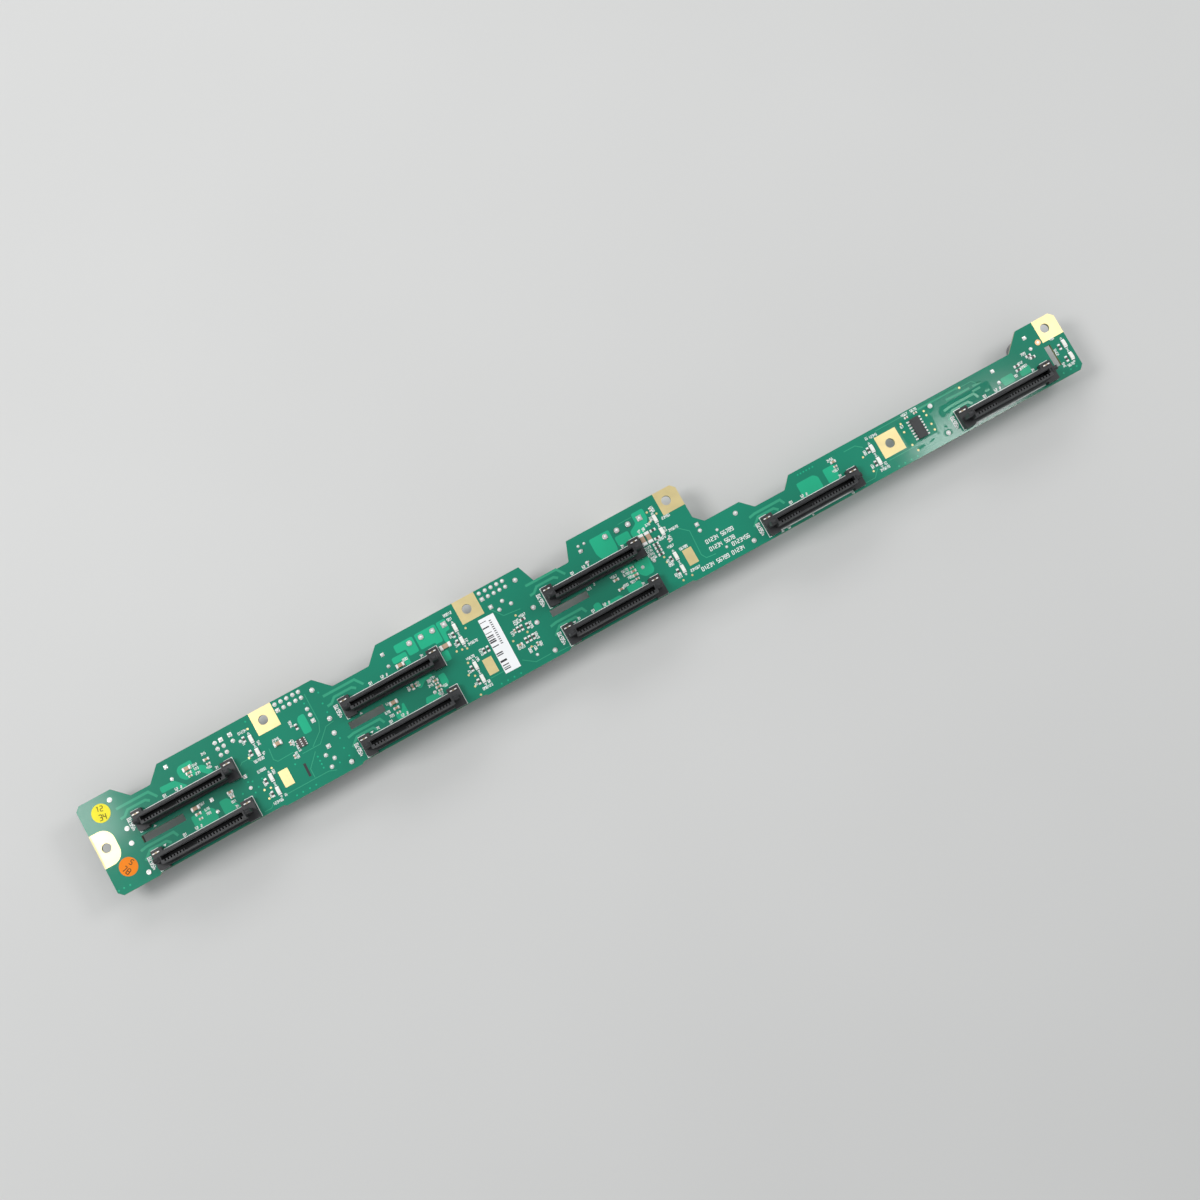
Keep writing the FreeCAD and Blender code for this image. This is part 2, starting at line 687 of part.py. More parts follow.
# ------------------------------------------------------------------ drive sockets
def socket_housing():
    """Moulded housing of one drive socket: end blocks, flange, slotted bar and guide posts."""
    body = new_body("drive_socket_housing_pattern")
    base = new_sketch(body, "socket_base")
    right_block = "socket_length - far_block_width"
    closed_outline(base, [
        ("0", "block_cut"), ("block_cut * 0.3", "block_cut * 0.3"), ("block_cut", "0"),
        ("block_width", "0"), ("block_width", "flange_front"),
        (right_block, "flange_front"), (right_block, "0"), ("socket_length", "0"),
        ("socket_length", "socket_depth"), (right_block, "socket_depth"),
        (right_block, "flange_back"), ("block_width", "flange_back"),
        ("block_width", "socket_depth"), ("0", "socket_depth")])
    pad(body, base, "block_height")
    bar = new_sketch(body, "socket_bar")
    rectangle(bar, "bar_left", "bar_right", "bar_front", "bar_back")
    pad(body, bar, "bar_height")
    posts = new_sketch(body, "socket_posts")
    rectangle(posts, "post_left", "bar_left", "post_front", "post_back", "left")
    rectangle(posts, "bar_right", "post_right", "post_front", "post_back", "right")
    pad(body, posts, "post_height")
    bevel_posts(body)
    mouth = new_sketch(body, "socket_mouth", height="bar_height")
    rectangle(mouth, "mouth_left", "mouth_right", "mouth_front", "mouth_back")
    pocket(body, mouth, "bar_height - mouth_floor")
    lead_in = new_sketch(body, "socket_lead_in", height="bar_height")
    rectangle(lead_in, "mouth_left", "mouth_right", "mouth_back", "mouth_back + mouth_chamfer")
    pocket(body, lead_in, "mouth_chamfer * 2")
    key = new_sketch(body, "socket_key", height="bar_height")
    rectangle(key, "key_left", "key_right", "mouth_front - key_depth", "mouth_front")
    pocket(body, key, "bar_height - mouth_floor")
    for stem, first, count in (("signal_cell", "contact_first", 7), ("power_cell", "power_first", 15)):
        cell = new_sketch(body, stem, height="bar_height")
        rectangle(cell, f"{first} - cell_width / 2", f"{first} + cell_width / 2",
                  "mouth_front - cell_depth", "mouth_front")
        row_of(body, pocket(body, cell, "bar_height - mouth_floor"), cell, "contact_pitch", count)
    slit = new_sketch(body, "fine_slit_profile", height="bar_height")
    rectangle(slit, "fine_first - fine_width / 2", "fine_first + fine_width / 2",
              "mouth_back + mouth_chamfer", "mouth_back + mouth_chamfer + fine_slit")
    row_of(body, pocket(body, slit, "mouth_chamfer * 6"), slit, "fine_pitch", 7)
    seats = new_sketch(body, "clip_seats", height="block_height")
    for tag, centre in (("left", "clip_inset"), ("right", "socket_length - clip_inset_right")):
        rectangle(seats, f"{centre} - clip_width / 2 - clip_clearance",
                  f"{centre} + clip_width / 2 + clip_clearance",
                  "clip_line - clip_thickness / 2 - clip_clearance",
                  "clip_line + clip_thickness / 2 + clip_clearance", tag)
    pocket(body, seats, "block_height")
    return body


def bevel_posts(body):
    """Lead-in bevels on top of the guide posts."""
    top = value_of("post_height")
    base = body.Tip
    names = []
    for number, edge in enumerate(base.Shape.Edges, start=1):
        ends = [vertex.Point for vertex in edge.Vertexes]
        if all(abs(end.z - top) < 0.01 for end in ends):
            names.append(f"Edge{number}")
    feature = body.newObject("PartDesign::Chamfer", "post_bevels")
    feature.Base = (base, names)
    bind(feature, Size="post_chamfer")
    document.recompute()


def socket_contacts():
    """Contact blades of one drive socket, seven for signals and fifteen for power."""
    body = new_body("drive_socket_contacts_pattern")
    body.AllowCompound = True
    length = "bar_height - mouth_floor - blade_below_mouth"
    back = "mouth_front - cell_depth + blade_gap"
    for stem, first, count in (("signal_blade", "contact_first", 7), ("power_blade", "power_first", 15)):
        blade = new_sketch(body, stem, height="mouth_floor")
        rectangle(blade, f"{first} - blade_width / 2", f"{first} + blade_width / 2",
                  back, f"{back} + blade_thickness")
        row_of(body, pad(body, blade, length), blade, "contact_pitch", count)
    return body


def socket_hold_downs():
    """Two flat metal hold-downs, each a bridge on two legs, standing in the end blocks."""
    body = new_body("drive_socket_hold_downs_pattern")
    body.AllowCompound = True
    face = new_sketch(body, "hold_down_face", "XZ_Plane")
    face.setExpression("AttachmentOffset.Base.z", bound("0 - clip_line - clip_thickness / 2"))
    for tag, centre in (("left", "clip_inset"), ("right", "socket_length - clip_inset_right")):
        outer = f"{centre} - clip_width / 2"
        inner = f"{centre} - clip_notch / 2"
        far_inner = f"{centre} + clip_notch / 2"
        far_outer = f"{centre} + clip_width / 2"
        closed_outline(face, [
            (outer, "0"), (inner, "0"), (inner, "block_height - clip_notch"),
            (far_inner, "block_height - clip_notch"), (far_inner, "0"), (far_outer, "0"),
            (far_outer, "block_height + clip_rise"), (outer, "block_height + clip_rise")], tag)
    pad(body, face, "clip_thickness")
    return body


def repeats(pattern, stem, places, z="0"):
    """Alike pieces at several places, each taking its shape from one unplaced pattern."""
    for number, (x, y) in enumerate(places, start=1):
        piece = group(f"{stem}_{number}", [pattern])
        place(piece, x, y, z)
        keep(piece)


def drive_sockets():
    """Eight alike sockets."""
    for build, stem in ((socket_housing, "drive_socket_housing"),
                        (socket_contacts, "drive_socket_contacts"),
                        (socket_hold_downs, "drive_socket_hold_downs")):
        repeats(build(), stem, socket_places())


# ------------------------------------------------------------------ parts of the drive side
def blocks_at(stem, places, length, width, height):
    """Flat rectangular parts lying on the board, the long side along x or y."""
    members = []
    for number, (beside, offset, y, along) in enumerate(places, start=1):
        run, across = (length, width) if along == "x" else (width, length)
        members.append(block(f"{stem}_{number}", (run, across, height),
                             (f"{column(beside)} + {offset} - {run} / 2", f"{y} - {across} / 2",
                              "0")))
    return members


def surface_parts():
    """Chip resistors, ceramic capacitors, fuses, networks and status lights."""
    resistors = blocks_at("resistor", SMALL_RESISTORS, "small_length", "small_width",
                          "small_height")
    ceramics = blocks_at("ceramic", SMALL_CAPACITORS, "small_length", "small_width",
                         "small_height")
    ceramics += blocks_at("tiny_ceramic", TINY_CAPACITORS, "tiny_length", "tiny_width",
                          "tiny_height")
    ceramics += blocks_at("large_ceramic", LARGE_CAPACITORS, "large_length", "large_width",
                          "large_height")
    fuses = blocks_at("fuse", FUSES, "fuse_length", "fuse_width", "fuse_height")
    networks = blocks_at("network", NETWORKS, "network_length", "network_width",
                         "network_height")
    lights = []
    for number in range(5):
        for drop in (0, 1) if number < 3 else (1,):
            for line in ("light_high", "light_low"):
                lights.append((number, "light_offset", f"{line} - {drop} * light_row_pitch", "y"))
    for label, members in (
            ("chip_resistors", resistors), ("ceramic_capacitors", ceramics),
            ("chip_fuses", fuses), ("resistor_networks", networks),
            ("status_lights", blocks_at("light", lights, "light_length", "light_width",
                                        "light_height"))):
        node = group(label, members)
        place(node)
        keep(node)


def logic_chip():
    """Fourteen-lead small-outline chip with gull-wing leads."""
    case = new_body("logic_chip_case")
    outline = new_sketch(case, "chip_outline")
    rectangle(outline, "0", "chip_width", "0", "chip_length")
    pad(case, outline, "chip_height - chip_standoff")
    place(case, f"{column(3)} + chip_offset", "chip_low", "chip_standoff")
    keep(case)
    leads = new_body("logic_chip_leads")
    leads.AllowCompound = True
    top = "lead_height"
    under = "lead_height - lead_thickness"
    for tag, side, sign in (("left", "0", "-"), ("right", "chip_width", "+")):
        knee = f"{side} {sign} ( lead_reach - lead_foot )"
        inner = f"{knee} {'+' if sign == '-' else '-'} lead_thickness"
        toe = f"{side} {sign} lead_reach"
        profile = new_sketch(leads, f"lead_{tag}", "XZ_Plane")
        closed_outline(profile, [
            (side, top), (knee, top), (knee, "lead_thickness"), (toe, "lead_thickness"),
            (toe, "0"), (inner, "0"), (inner, under), (side, under)], tag)
        start = "( chip_length - 6 * lead_pitch - lead_width ) / 2"
        profile.setExpression("AttachmentOffset.Base.z", bound(f"0 - {start}"))
        one = pad(leads, profile, "lead_width", reverse=True)
        pattern = leads.newObject("PartDesign::LinearPattern", f"lead_{tag}_row")
        pattern.Originals = [one]
        pattern.Direction = (profile, ["N_Axis"])
        pattern.Reversed = True
        pattern.Occurrences = 7
        bind(pattern, Length="lead_pitch * 6")
        leads.Tip = pattern
        document.recompute()
    place(leads, f"{column(3)} + chip_offset", "chip_low")
    keep(leads)


def labels():
    """Two round inspection dots and one serial label."""
    for name, line in (("inspection_dot_upper", "board_depth - dot_drop"),
                       ("inspection_dot_lower", "dot_low")):
        dot = document.addObject("Part::Cylinder", name)
        bind(dot, Radius="dot_radius", Height="label_thickness")
        place(dot, "dot_column", line)
        keep(dot)
    serial = document.addObject("Part::Box", "serial_label")
    bind(serial, Length="serial_width", Width="serial_length", Height="label_thickness")
    serial.Placement.Rotation = FreeCAD.Rotation(vector(0, 0, 1), value_of("serial_turn"))
    place(serial, f"{column(1)} + serial_offset", "board_depth - serial_drop")
    keep(serial)


# ------------------------------------------------------------------ parts of the rear side
def hang(thing, x, y):
    """Place a rear part whose own z = 0 is its seating face."""
    place(thing, x, y, "0 - board_thickness")
    return keep(thing)


def well_header(label, length, width, height, wall, well):
    """Open-ended box header: a rectangular case, seated at z = 0, with its mouth below."""
    body = new_body(label)
    outline = new_sketch(body, f"{label}_outline")
    rectangle(outline, "0", length, "0", width)
    pad(body, outline, height, reverse=True)
    mouth = new_sketch(body, f"{label}_mouth", height=f"0 - {height}")
    rectangle(mouth, wall, f"{length} - {wall}", wall, f"{width} - {wall}")
    pocket(body, mouth, well, reverse=True)
    return body


def signal_header():
    """Seven-contact data header with its keyed tongue; it stands along Y."""
    body = well_header("signal_header_pattern", "signal_width", "signal_length", "signal_height",
                       "signal_wall", "signal_well")
    tongue = new_sketch(body, "signal_tongue", height="signal_well - signal_height")
    left = "signal_width / 2 - tongue_width / 2"
    right = "signal_width / 2 + tongue_width / 2"
    low = "( signal_length - tongue_length ) / 2"
    high = "( signal_length + tongue_length ) / 2"
    closed_outline(tongue, [
        (left, low), (f"{right} + signal_key", low), (f"{right} + signal_key", f"{low} + tongue_width"),
        (right, f"{low} + tongue_width"), (right, high), (left, high)])
    pad(body, tongue, "signal_well - tongue_recess", reverse=True)
    return body


def signal_headers():
    pattern = signal_header()
    places = signal_places()
    corners = [(f"{x} - signal_width / 2", f"{y} - signal_length / 2") for x, y in places]
    repeats(pattern, "signal_header", corners, "0 - board_thickness")
    pegs = []
    for number, (x, y) in enumerate(places, start=1):
        for side, (peg_x, peg_y) in enumerate(signal_pegs(x, y)):
            pegs.append(block(f"peg_{number}_{side}", ("peg_side", "peg_side",
                                                       "board_thickness + pin_show"),
                              (f"{peg_x} - peg_side / 2", f"{peg_y} - peg_side / 2", "0")))
    hang(group("signal_header_pegs", pegs), "0", "0")


def power_headers():
    """Two four-pin power headers with two cut corners and stout square pins."""
    body = well_header("power_header_pattern", "power_length", "power_width", "power_height",
                       "power_wall", "power_well")
    corners = new_sketch(body, "power_corners")
    for tag, corner, inner in (("left", "0", "power_chamfer"),
                               ("right", "power_length", "power_length - power_chamfer")):
        closed_outline(corners, [(corner, "power_width"), (corner, "power_width - power_chamfer"),
                                 (inner, "power_width")], tag)
    pocket(body, corners, "power_height", reverse=False)
    holes = new_sketch(body, "power_pin_holes")
    for number in range(4):
        centre = f"( power_length - 3 * power_pitch ) / 2 + {number} * power_pitch"
        rectangle(holes, f"{centre} - power_pin_side / 2", f"{centre} + power_pin_side / 2",
                  "( power_width - power_pin_side ) / 2", "( power_width + power_pin_side ) / 2",
                  f"pin{number}")
    pocket(body, holes, "power_height - power_well")
    places = [(f"{spot(POWERS, name)} + 1.5 * power_pitch - power_length / 2",
               f"{name}_line - power_width / 2") for name in POWERS]
    repeats(body, "power_header", places, "0 - board_thickness")
    height = "power_height - power_wall + board_thickness + pin_show"
    pins = [block(f"{name}_pin_{number}", ("power_pin_side", "power_pin_side", height),
                  (f"{x} - power_pin_side / 2", f"{y} - power_pin_side / 2",
                   "power_wall - power_height"))
            for name in POWERS for number, (x, y) in enumerate(power_pins(name))]
    hang(group("power_header_pins", pins), "0", "0")


def thin_pins(name, spots, base, tip):
    """Square mating pins between two levels below the board."""
    return [block(f"{name}_pin_{number}", ("pin_side", "pin_side", f"{tip} - {base}"),
                  (f"{x} - pin_side / 2", f"{y} - pin_side / 2", f"0 - ( {tip} )"))
            for number, (x, y) in enumerate(spots, start=1)]


def pin_headers():
    """Plain pin strips and two keyed four-pin sensor headers."""
    pins = []
    strips = []
    for name, strip in STRIPS.items():
        pins += thin_pins(name, strip_pins(name), "strip_height", "strip_pin_drop")
        size = (f"{strip['across']} * pin_pitch", f"{strip['up']} * pin_pitch", "strip_height")
        strips.append(block(f"{name}_base", size,
                            (f"{spot(STRIPS, name)} - pin_pitch / 2",
                             f"{name}_line - pin_pitch / 2", "0 - strip_height")))
    hang(group("pin_strips", strips), "0", "0")
    for number, (name, sensor) in enumerate(SENSORS.items(), start=1):
        pins += thin_pins(name, sensor_pins(name), "( sensor_height - sensor_well )",
                          "sensor_height - sensor_wall")
        upright = sensor["along"] == "y"
        run, across = ("sensor_width", "sensor_length") if upright else ("sensor_length",
                                                                         "sensor_width")
        shift = ("0.5", "1.5") if upright else ("1.5", "0.5")
        body = well_header(f"sensor_header_{number}", run, across, "sensor_height",
                           "sensor_wall", "sensor_well")
        hang(body, f"{spot(SENSORS, name)} + {shift[0]} * pin_pitch - {run} / 2",
             f"{name}_line + {shift[1]} * pin_pitch - {across} / 2")
    hang(group("header_pins", pins), "0", "0")


def bulk_capacitors():
    """Radial electrolytic capacitors and their leads."""
    cans = []
    leads = []
    for name in CANS:
        can = document.addObject("Part::Cylinder", name)
        bind(can, Radius="can_radius", Height="can_height",
             Placement__Base__x=spot(CANS, name), Placement__Base__y=f"{name}_line",
             Placement__Base__z="0 - can_height")
        cans.append(can)
        for number, (x, y) in enumerate(can_leads(name)):
            leads.append(block(f"{name}_lead_{number}",
                               ("lead_side", "lead_side", "board_thickness + pin_show"),
                               (f"{x} - lead_side / 2", f"{y} - lead_side / 2", "0")))
    hang(group("bulk_capacitors", cans), "0", "0")
    hang(group("capacitor_leads", leads), "0", "0")


# ------------------------------------------------------------------ build, check and write
circuit_board()
ground_pads()
drive_sockets()
surface_parts()
logic_chip()
labels()
signal_headers()
power_headers()
pin_headers()
bulk_capacitors()
document.recompute()

for item in document.Objects:
    if "Invalid" in item.State or "Error" in item.State:
        raise RuntimeError(f"{item.Name} is in state {item.State}")
for part in SUBPARTS:
    if part.Shape.isNull() or not part.Shape.isValid():
        raise RuntimeError(f"{part.Label} has no valid shape")

os.makedirs("parts", exist_ok=True)
for part in SUBPARTS:
    part.Shape.exportStep(f"parts/{part.Label}.step")
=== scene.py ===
"""Drive backplane board: the dressed model.

The file is laid out as an add-on and is run as a script.  Every place on the board is given in
millimetres from the board's lower left corner and turned into the frame's metres by spots().
"""

import json
import math

import bpy
import numpy as np
from bpy.props import FloatProperty, FloatVectorProperty, IntProperty, PointerProperty
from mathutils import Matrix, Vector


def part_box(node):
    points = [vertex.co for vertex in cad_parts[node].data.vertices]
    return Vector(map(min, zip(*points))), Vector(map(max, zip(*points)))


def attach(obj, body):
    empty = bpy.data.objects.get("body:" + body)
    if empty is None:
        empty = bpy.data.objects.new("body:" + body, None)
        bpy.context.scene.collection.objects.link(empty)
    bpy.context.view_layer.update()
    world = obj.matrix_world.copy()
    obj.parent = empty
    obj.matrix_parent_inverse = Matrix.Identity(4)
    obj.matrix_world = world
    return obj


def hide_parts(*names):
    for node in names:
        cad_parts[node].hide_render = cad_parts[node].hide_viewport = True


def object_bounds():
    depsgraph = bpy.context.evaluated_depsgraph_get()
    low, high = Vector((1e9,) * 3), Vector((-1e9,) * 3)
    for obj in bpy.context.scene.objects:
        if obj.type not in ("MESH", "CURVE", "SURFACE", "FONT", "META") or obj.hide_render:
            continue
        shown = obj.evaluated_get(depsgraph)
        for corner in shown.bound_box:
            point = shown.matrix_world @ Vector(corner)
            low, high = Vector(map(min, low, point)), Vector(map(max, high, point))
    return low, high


bl_info = {
    "name": "Drive backplane board",
    "version": (1, 0, 0),
    "blender": (4, 5, 0),
    "location": "View3D > Sidebar > Backplane",
    "description": "Dresses the drive backplane board with joints, traces, printing and finishes",
    "category": "Object",
}

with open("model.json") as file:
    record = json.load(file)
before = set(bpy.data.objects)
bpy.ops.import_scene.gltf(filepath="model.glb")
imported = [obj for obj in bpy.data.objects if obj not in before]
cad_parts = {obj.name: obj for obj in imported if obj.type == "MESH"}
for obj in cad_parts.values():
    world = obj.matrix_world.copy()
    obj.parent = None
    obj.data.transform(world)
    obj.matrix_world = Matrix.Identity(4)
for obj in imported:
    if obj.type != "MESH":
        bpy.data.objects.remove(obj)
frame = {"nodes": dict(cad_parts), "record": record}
CAD_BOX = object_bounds()
MM = 0.001
BOARD_LOW = np.array(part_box("circuit_board")[0])
BOARD_HIGH = np.array(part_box("circuit_board")[1])
COLUMN_START = 18.29
COLUMN_PITCH = 88.53
DRIVES = range(1, 9)
SIGNAL_HEADERS = [f"signal_header_{number}" for number in DRIVES]
SIGNAL_PITCH = 1.27         # millimetres
SIGNAL_CONTACTS = 7
SOCKET_FOOT = 0.95          # millimetres from the board's lower edge to the lower sockets
UPPER_ROW = 16.8            # millimetres from the lower row of sockets to the upper one
RIM = 0.3 * MM              # printing keeps this far inside the board's edge


def spots(points):
    """Board millimetres to frame metres: x and y plus the board's lower left corner."""
    return np.asarray(points, float) * MM + BOARD_LOW[:2]


def column(number):
    """Board x, in millimetres, of the left end of a column's sockets."""
    return COLUMN_START + number * COLUMN_PITCH


# ------------------------------------------------------------------ sizes and colours
def metres(name, description, value):
    return FloatProperty(name=name, description=description, default=value * MM, unit="LENGTH",
                         precision=6)


def colour(name, description, value):
    return FloatVectorProperty(name=name, description=description, default=value, size=3,
                               subtype="COLOR", min=0.0, max=1.0)


class BoardFinishes(bpy.types.PropertyGroup):
    """Colours of the board and of what is printed or plated on it."""
    mask: colour("Solder mask", "Green lacquer over bare laminate and inner planes",
                 (0.0, 0.205, 0.122))
    pour: colour("Copper pour", "Green lacquer over an outer copper area", (0.008, 0.42, 0.225))
    trace: colour("Trace", "Green lacquer over an outer trace", (0.03, 0.35, 0.20))
    silk: colour("Printing", "White ink", (0.86, 0.88, 0.86))
    gold: colour("Gold", "Gold flash on pads and test dots", (0.88, 0.73, 0.37))
    # The near-white solder tint is partly the solder's own pale tone and partly painted sheen standing
    # for the joints' shine.
    solder: colour("Solder", "Bright solder", (0.92, 0.91, 0.89))
    moulding: colour("Black moulding", "Glass-filled black plastic", (0.031, 0.032, 0.034))


class BoardSizes(bpy.types.PropertyGroup):
    """Sizes of the fine relief that stands on the board."""
    ink_height: metres("Ink height", "Thickness of the white printing", 0.02)
    ink_width: metres("Ink line", "Width of a printed line", 0.24)
    pour_height: metres("Pour height", "Rise of a copper area under the lacquer", 0.035)
    trace_height: metres("Trace height", "Rise of a trace under the lacquer", 0.03)
    joint_radius: metres("Joint radius", "Radius of a large solder joint", 0.98)
    joint_height: metres("Joint height", "Height of a large solder joint", 0.75)
    small_joint_radius: metres("Small joint radius", "Radius of a pin's solder joint", 0.82)
    small_joint_height: metres("Small joint height", "Height of a pin's solder joint", 0.62)
    dot_radius: metres("Test dot radius", "Radius of a gold test dot", 0.45)
    around: IntProperty(name="Facets", description="Facets round a small round piece", default=14)


# ------------------------------------------------------------------ shapes
class Heap:
    """Vertices and faces of like shapes, gathered into one mesh."""

    def __init__(self):
        self.points = []
        self.faces = []
        self.count = 0

    def add(self, points, faces):
        """points is (n, 3); faces is a list of (m, k) arrays that index them."""
        self.points.append(np.asarray(points, float))
        for block in faces:
            self.faces += (np.asarray(block) + self.count).tolist()
        self.count += len(points)

    def piece(self, name, finish, slot, replaces=(), smooth=False):
        """Make the object, at the origin, and parent it to the root empty."""
        mesh = bpy.data.meshes.new(name)
        mesh.from_pydata(np.concatenate(self.points).tolist(), [], self.faces)
        mesh.validate()
        if smooth:
            mesh.shade_smooth()
        mesh.materials.append(finish)
        piece = bpy.data.objects.new(name, mesh)
        bpy.context.scene.collection.objects.link(piece)
        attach(piece, "root")
        if replaces:
            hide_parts(*replaces)
        return piece


def rings(sections):
    """Skin n stacks of m rings of k points, given as (n, m, k, 3), each ring counter-clockwise
    seen from the stack's far end: quads between the rings and one face on each end."""
    n, m, k = sections.shape[:3]
    first = np.arange(n)[:, None, None] * m * k
    level = np.arange(m - 1)[None, :, None] * k
    turn = np.arange(k)[None, None, :]
    after = (turn + 1) % k
    base = first + level
    quads = np.stack([base + turn, base + after, base + k + after, base + k + turn], -1)
    around = np.arange(k)
    start = np.arange(n)[:, None] * m * k
    ends = [start + around[::-1], start + (m - 1) * k + around]
    return sections.reshape(-1, 3), [quads.reshape(-1, 4), *ends]


def prisms(outlines, low, high):
    """Upright prisms over (n, k, 2) counter-clockwise outlines, between two heights."""
    outlines = np.asarray(outlines, float)
    n, k = outlines.shape[:2]
    sections = np.empty((n, 2, k, 3))
    sections[..., :2] = outlines[:, None]
    sections[:, 0, :, 2] = np.broadcast_to(np.reshape(low, (-1, 1)), (n, 1))
    sections[:, 1, :, 2] = np.broadcast_to(np.reshape(high, (-1, 1)), (n, 1))
    return rings(sections)


def rounded_boxes(low, high, radius, steps=3):
    """Rectangles with quarter-round corners: each corner's centre plus radius (cos t, sin t)."""
    low, high = np.asarray(low, float), np.asarray(high, float)
    radius = np.minimum(radius, (high - low).min(1) / 2)[:, None]
    t = np.linspace(0, math.pi / 2, steps)
    parts = []
    for quarter, (x, y) in enumerate(((1, 1), (0, 1), (0, 0), (1, 0))):
        corner = np.where([x, y], high - radius, low + radius)
        angle = t + quarter * math.pi / 2
        parts.append(corner[:, None] + radius[:, None] * np.stack([np.cos(angle), np.sin(angle)], -1))
    return np.concatenate(parts, 1)


def lathed(centres, profile, steps):
    """Turned shapes: radius r and height z of the profile, swept round each centre (n, 3)."""
    centres = np.asarray(centres, float)
    profile = np.asarray(profile, float)
    t = np.linspace(0, 2 * math.pi, steps, endpoint=False)
    ring = np.stack([np.cos(t), np.sin(t)], -1)
    sections = np.empty((len(centres), len(profile), steps, 3))
    sections[..., :2] = profile[None, :, None, :1] * ring
    sections[..., :2] += centres[:, None, None, :2]
    sections[..., 2] = centres[:, None, 2:] + profile[None, :, 1:]
    return rings(sections)


def flat_rings(centres, inner, outer, low, high, steps):
    """Washers: the outline of a ring's four edges, swept round each centre (n, 2) and joined to
    its own start, so that no end is left."""
    centres = np.asarray(centres, float)
    t = np.linspace(0, 2 * math.pi, steps, endpoint=False)
    way = np.stack([np.cos(t), np.sin(t)], -1)
    edges = ((outer, low), (outer, high), (inner, high), (inner, low))
    points = np.empty((len(centres), 4, steps, 3))
    for place, (radius, height) in enumerate(edges):
        points[:, place, :, :2] = centres[:, None] + way * radius
        points[:, place, :, 2] = height
    turn = np.arange(steps)
    after = (turn + 1) % steps
    base = (np.arange(len(centres)) * 4 * steps)[:, None, None]
    edge = np.arange(4)[None, :, None]
    here, there = base + edge * steps, base + (edge + 1) % 4 * steps
    quads = np.stack([here + turn, here + after, there + after, there + turn], -1)
    return points.reshape(-1, 3), [quads.reshape(-1, 4)]


def cut_blocks(low, high, cut):
    """Boxes with every edge cut at 45 degrees: each corner becomes three points, one per side."""
    low, high = np.asarray(low, float), np.asarray(high, float)
    cut = np.minimum(cut, (high - low).min(1) * 0.45)[:, None]
    signs = np.array([[x, y, z] for z in (0, 1) for y in (0, 1) for x in (0, 1)])
    corners = np.where(signs[None], high[:, None], low[:, None])
    inward = 1 - 2 * signs
    shift = cut[:, :, None] * inward[None]
    points = []
    for axis in range(3):
        keep = np.ones(3)
        keep[axis] = 0
        points.append(corners + shift * keep)
    points = np.stack(points, 2).reshape(len(low), 24, 3)

    def at(corner, axis):
        return corner * 3 + axis

    faces = {3: [], 4: []}
    order = {0: ((0, 4, 6, 2), (1, 3, 7, 5)), 1: ((0, 1, 5, 4), (2, 6, 7, 3)),
             2: ((0, 2, 3, 1), (4, 5, 7, 6))}
    for axis, sides in order.items():
        for side in sides:
            faces[4].append([at(corner, axis) for corner in side])
    for axis in range(3):
        others = [other for other in range(3) if other != axis]
        for corner in range(8):
            if corner >> axis & 1:
                continue
            mate = corner | 1 << axis
            one, two = others
            loop = [at(corner, one), at(corner, two), at(mate, two), at(mate, one)]
            faces[4].append(loop)
    for corner in range(8):
        faces[3].append([at(corner, 0), at(corner, 1), at(corner, 2)])
    model = points[0] - points[0].mean(0)
    turned = []
    for size in (3, 4):
        block = np.array(faces[size])
        a, b, c = (model[block[:, i]] for i in range(3))
        outward = np.einsum("ij,ij->i", np.cross(b - a, c - a), model[block].mean(1))
        block[outward < 0] = block[outward < 0][:, ::-1]
        turned.append((np.arange(len(low))[:, None, None] * 24 + block).reshape(-1, size))
    return points.reshape(-1, 3), turned


def ribbon(path, width, low, high):
    """A flat strip along a bent path: at each point the half width goes out along the mitre,
    which is the mean of the two runs' normals divided by the cosine of half the bend."""
    path = np.asarray(path, float)
    runs = np.diff(path, axis=0)
    runs /= np.linalg.norm(runs, axis=1)[:, None]
    normals = np.stack([-runs[:, 1], runs[:, 0]], -1)
    before = np.concatenate([normals[:1], normals])
    after = np.concatenate([normals, normals[-1:]])
    mitre = before + after
    mitre /= np.maximum((mitre * before).sum(1), 0.35)[:, None]
    left, right = path + mitre * width / 2, path - mitre * width / 2
    section = np.empty((1, len(path), 4, 3))
    corners = ((right, low), (left, low), (left, high), (right, high))
    for place, (side, height) in enumerate(corners):
        section[0, :, place, :2] = side
        section[0, :, place, 2] = height
    return rings(section)


def eased(outline, cut):
    """An outline with its corners eased: each corner P becomes three points, a cut's length back
    along each side and the mean of those two with P counted twice."""
    outline = np.asarray(outline, float)
    back, ahead = np.roll(outline, 1, 0) - outline, np.roll(outline, -1, 0) - outline
    back_size, ahead_size = np.linalg.norm(back, axis=1), np.linalg.norm(ahead, axis=1)
    reach = np.minimum(cut, np.minimum(back_size, ahead_size) * 0.45)[:, None]
    first = outline + back / back_size[:, None] * reach
    last = outline + ahead / ahead_size[:, None] * reach
    return np.stack([first, (first + last + 2 * outline) / 4, last], 1).reshape(-1, 2)


STROKES = {
    "0": [[(0, 0), (2, 0), (2, 4), (0, 4), (0, 0)]],
    "1": [[(0.4, 3.2), (1.2, 4), (1.2, 0)]],
    "2": [[(0, 4), (2, 4), (2, 2), (0, 2), (0, 0), (2, 0)]],
    "3": [[(0, 4), (2, 4), (2, 0), (0, 0)], [(0.5, 2), (2, 2)]],
    "4": [[(0, 4), (0, 2), (2, 2)], [(1.7, 4), (1.7, 0)]],
    "5": [[(2, 4), (0, 4), (0, 2), (2, 2), (2, 0), (0, 0)]],
    "6": [[(2, 4), (0, 4), (0, 0), (2, 0), (2, 2), (0, 2)]],
    "7": [[(0, 4), (2, 4), (0.8, 0)]],
    "8": [[(0, 0), (2, 0), (2, 4), (0, 4), (0, 0)], [(0, 2), (2, 2)]],
    "9": [[(2, 2), (0, 2), (0, 4), (2, 4), (2, 0), (0, 0)]],
}


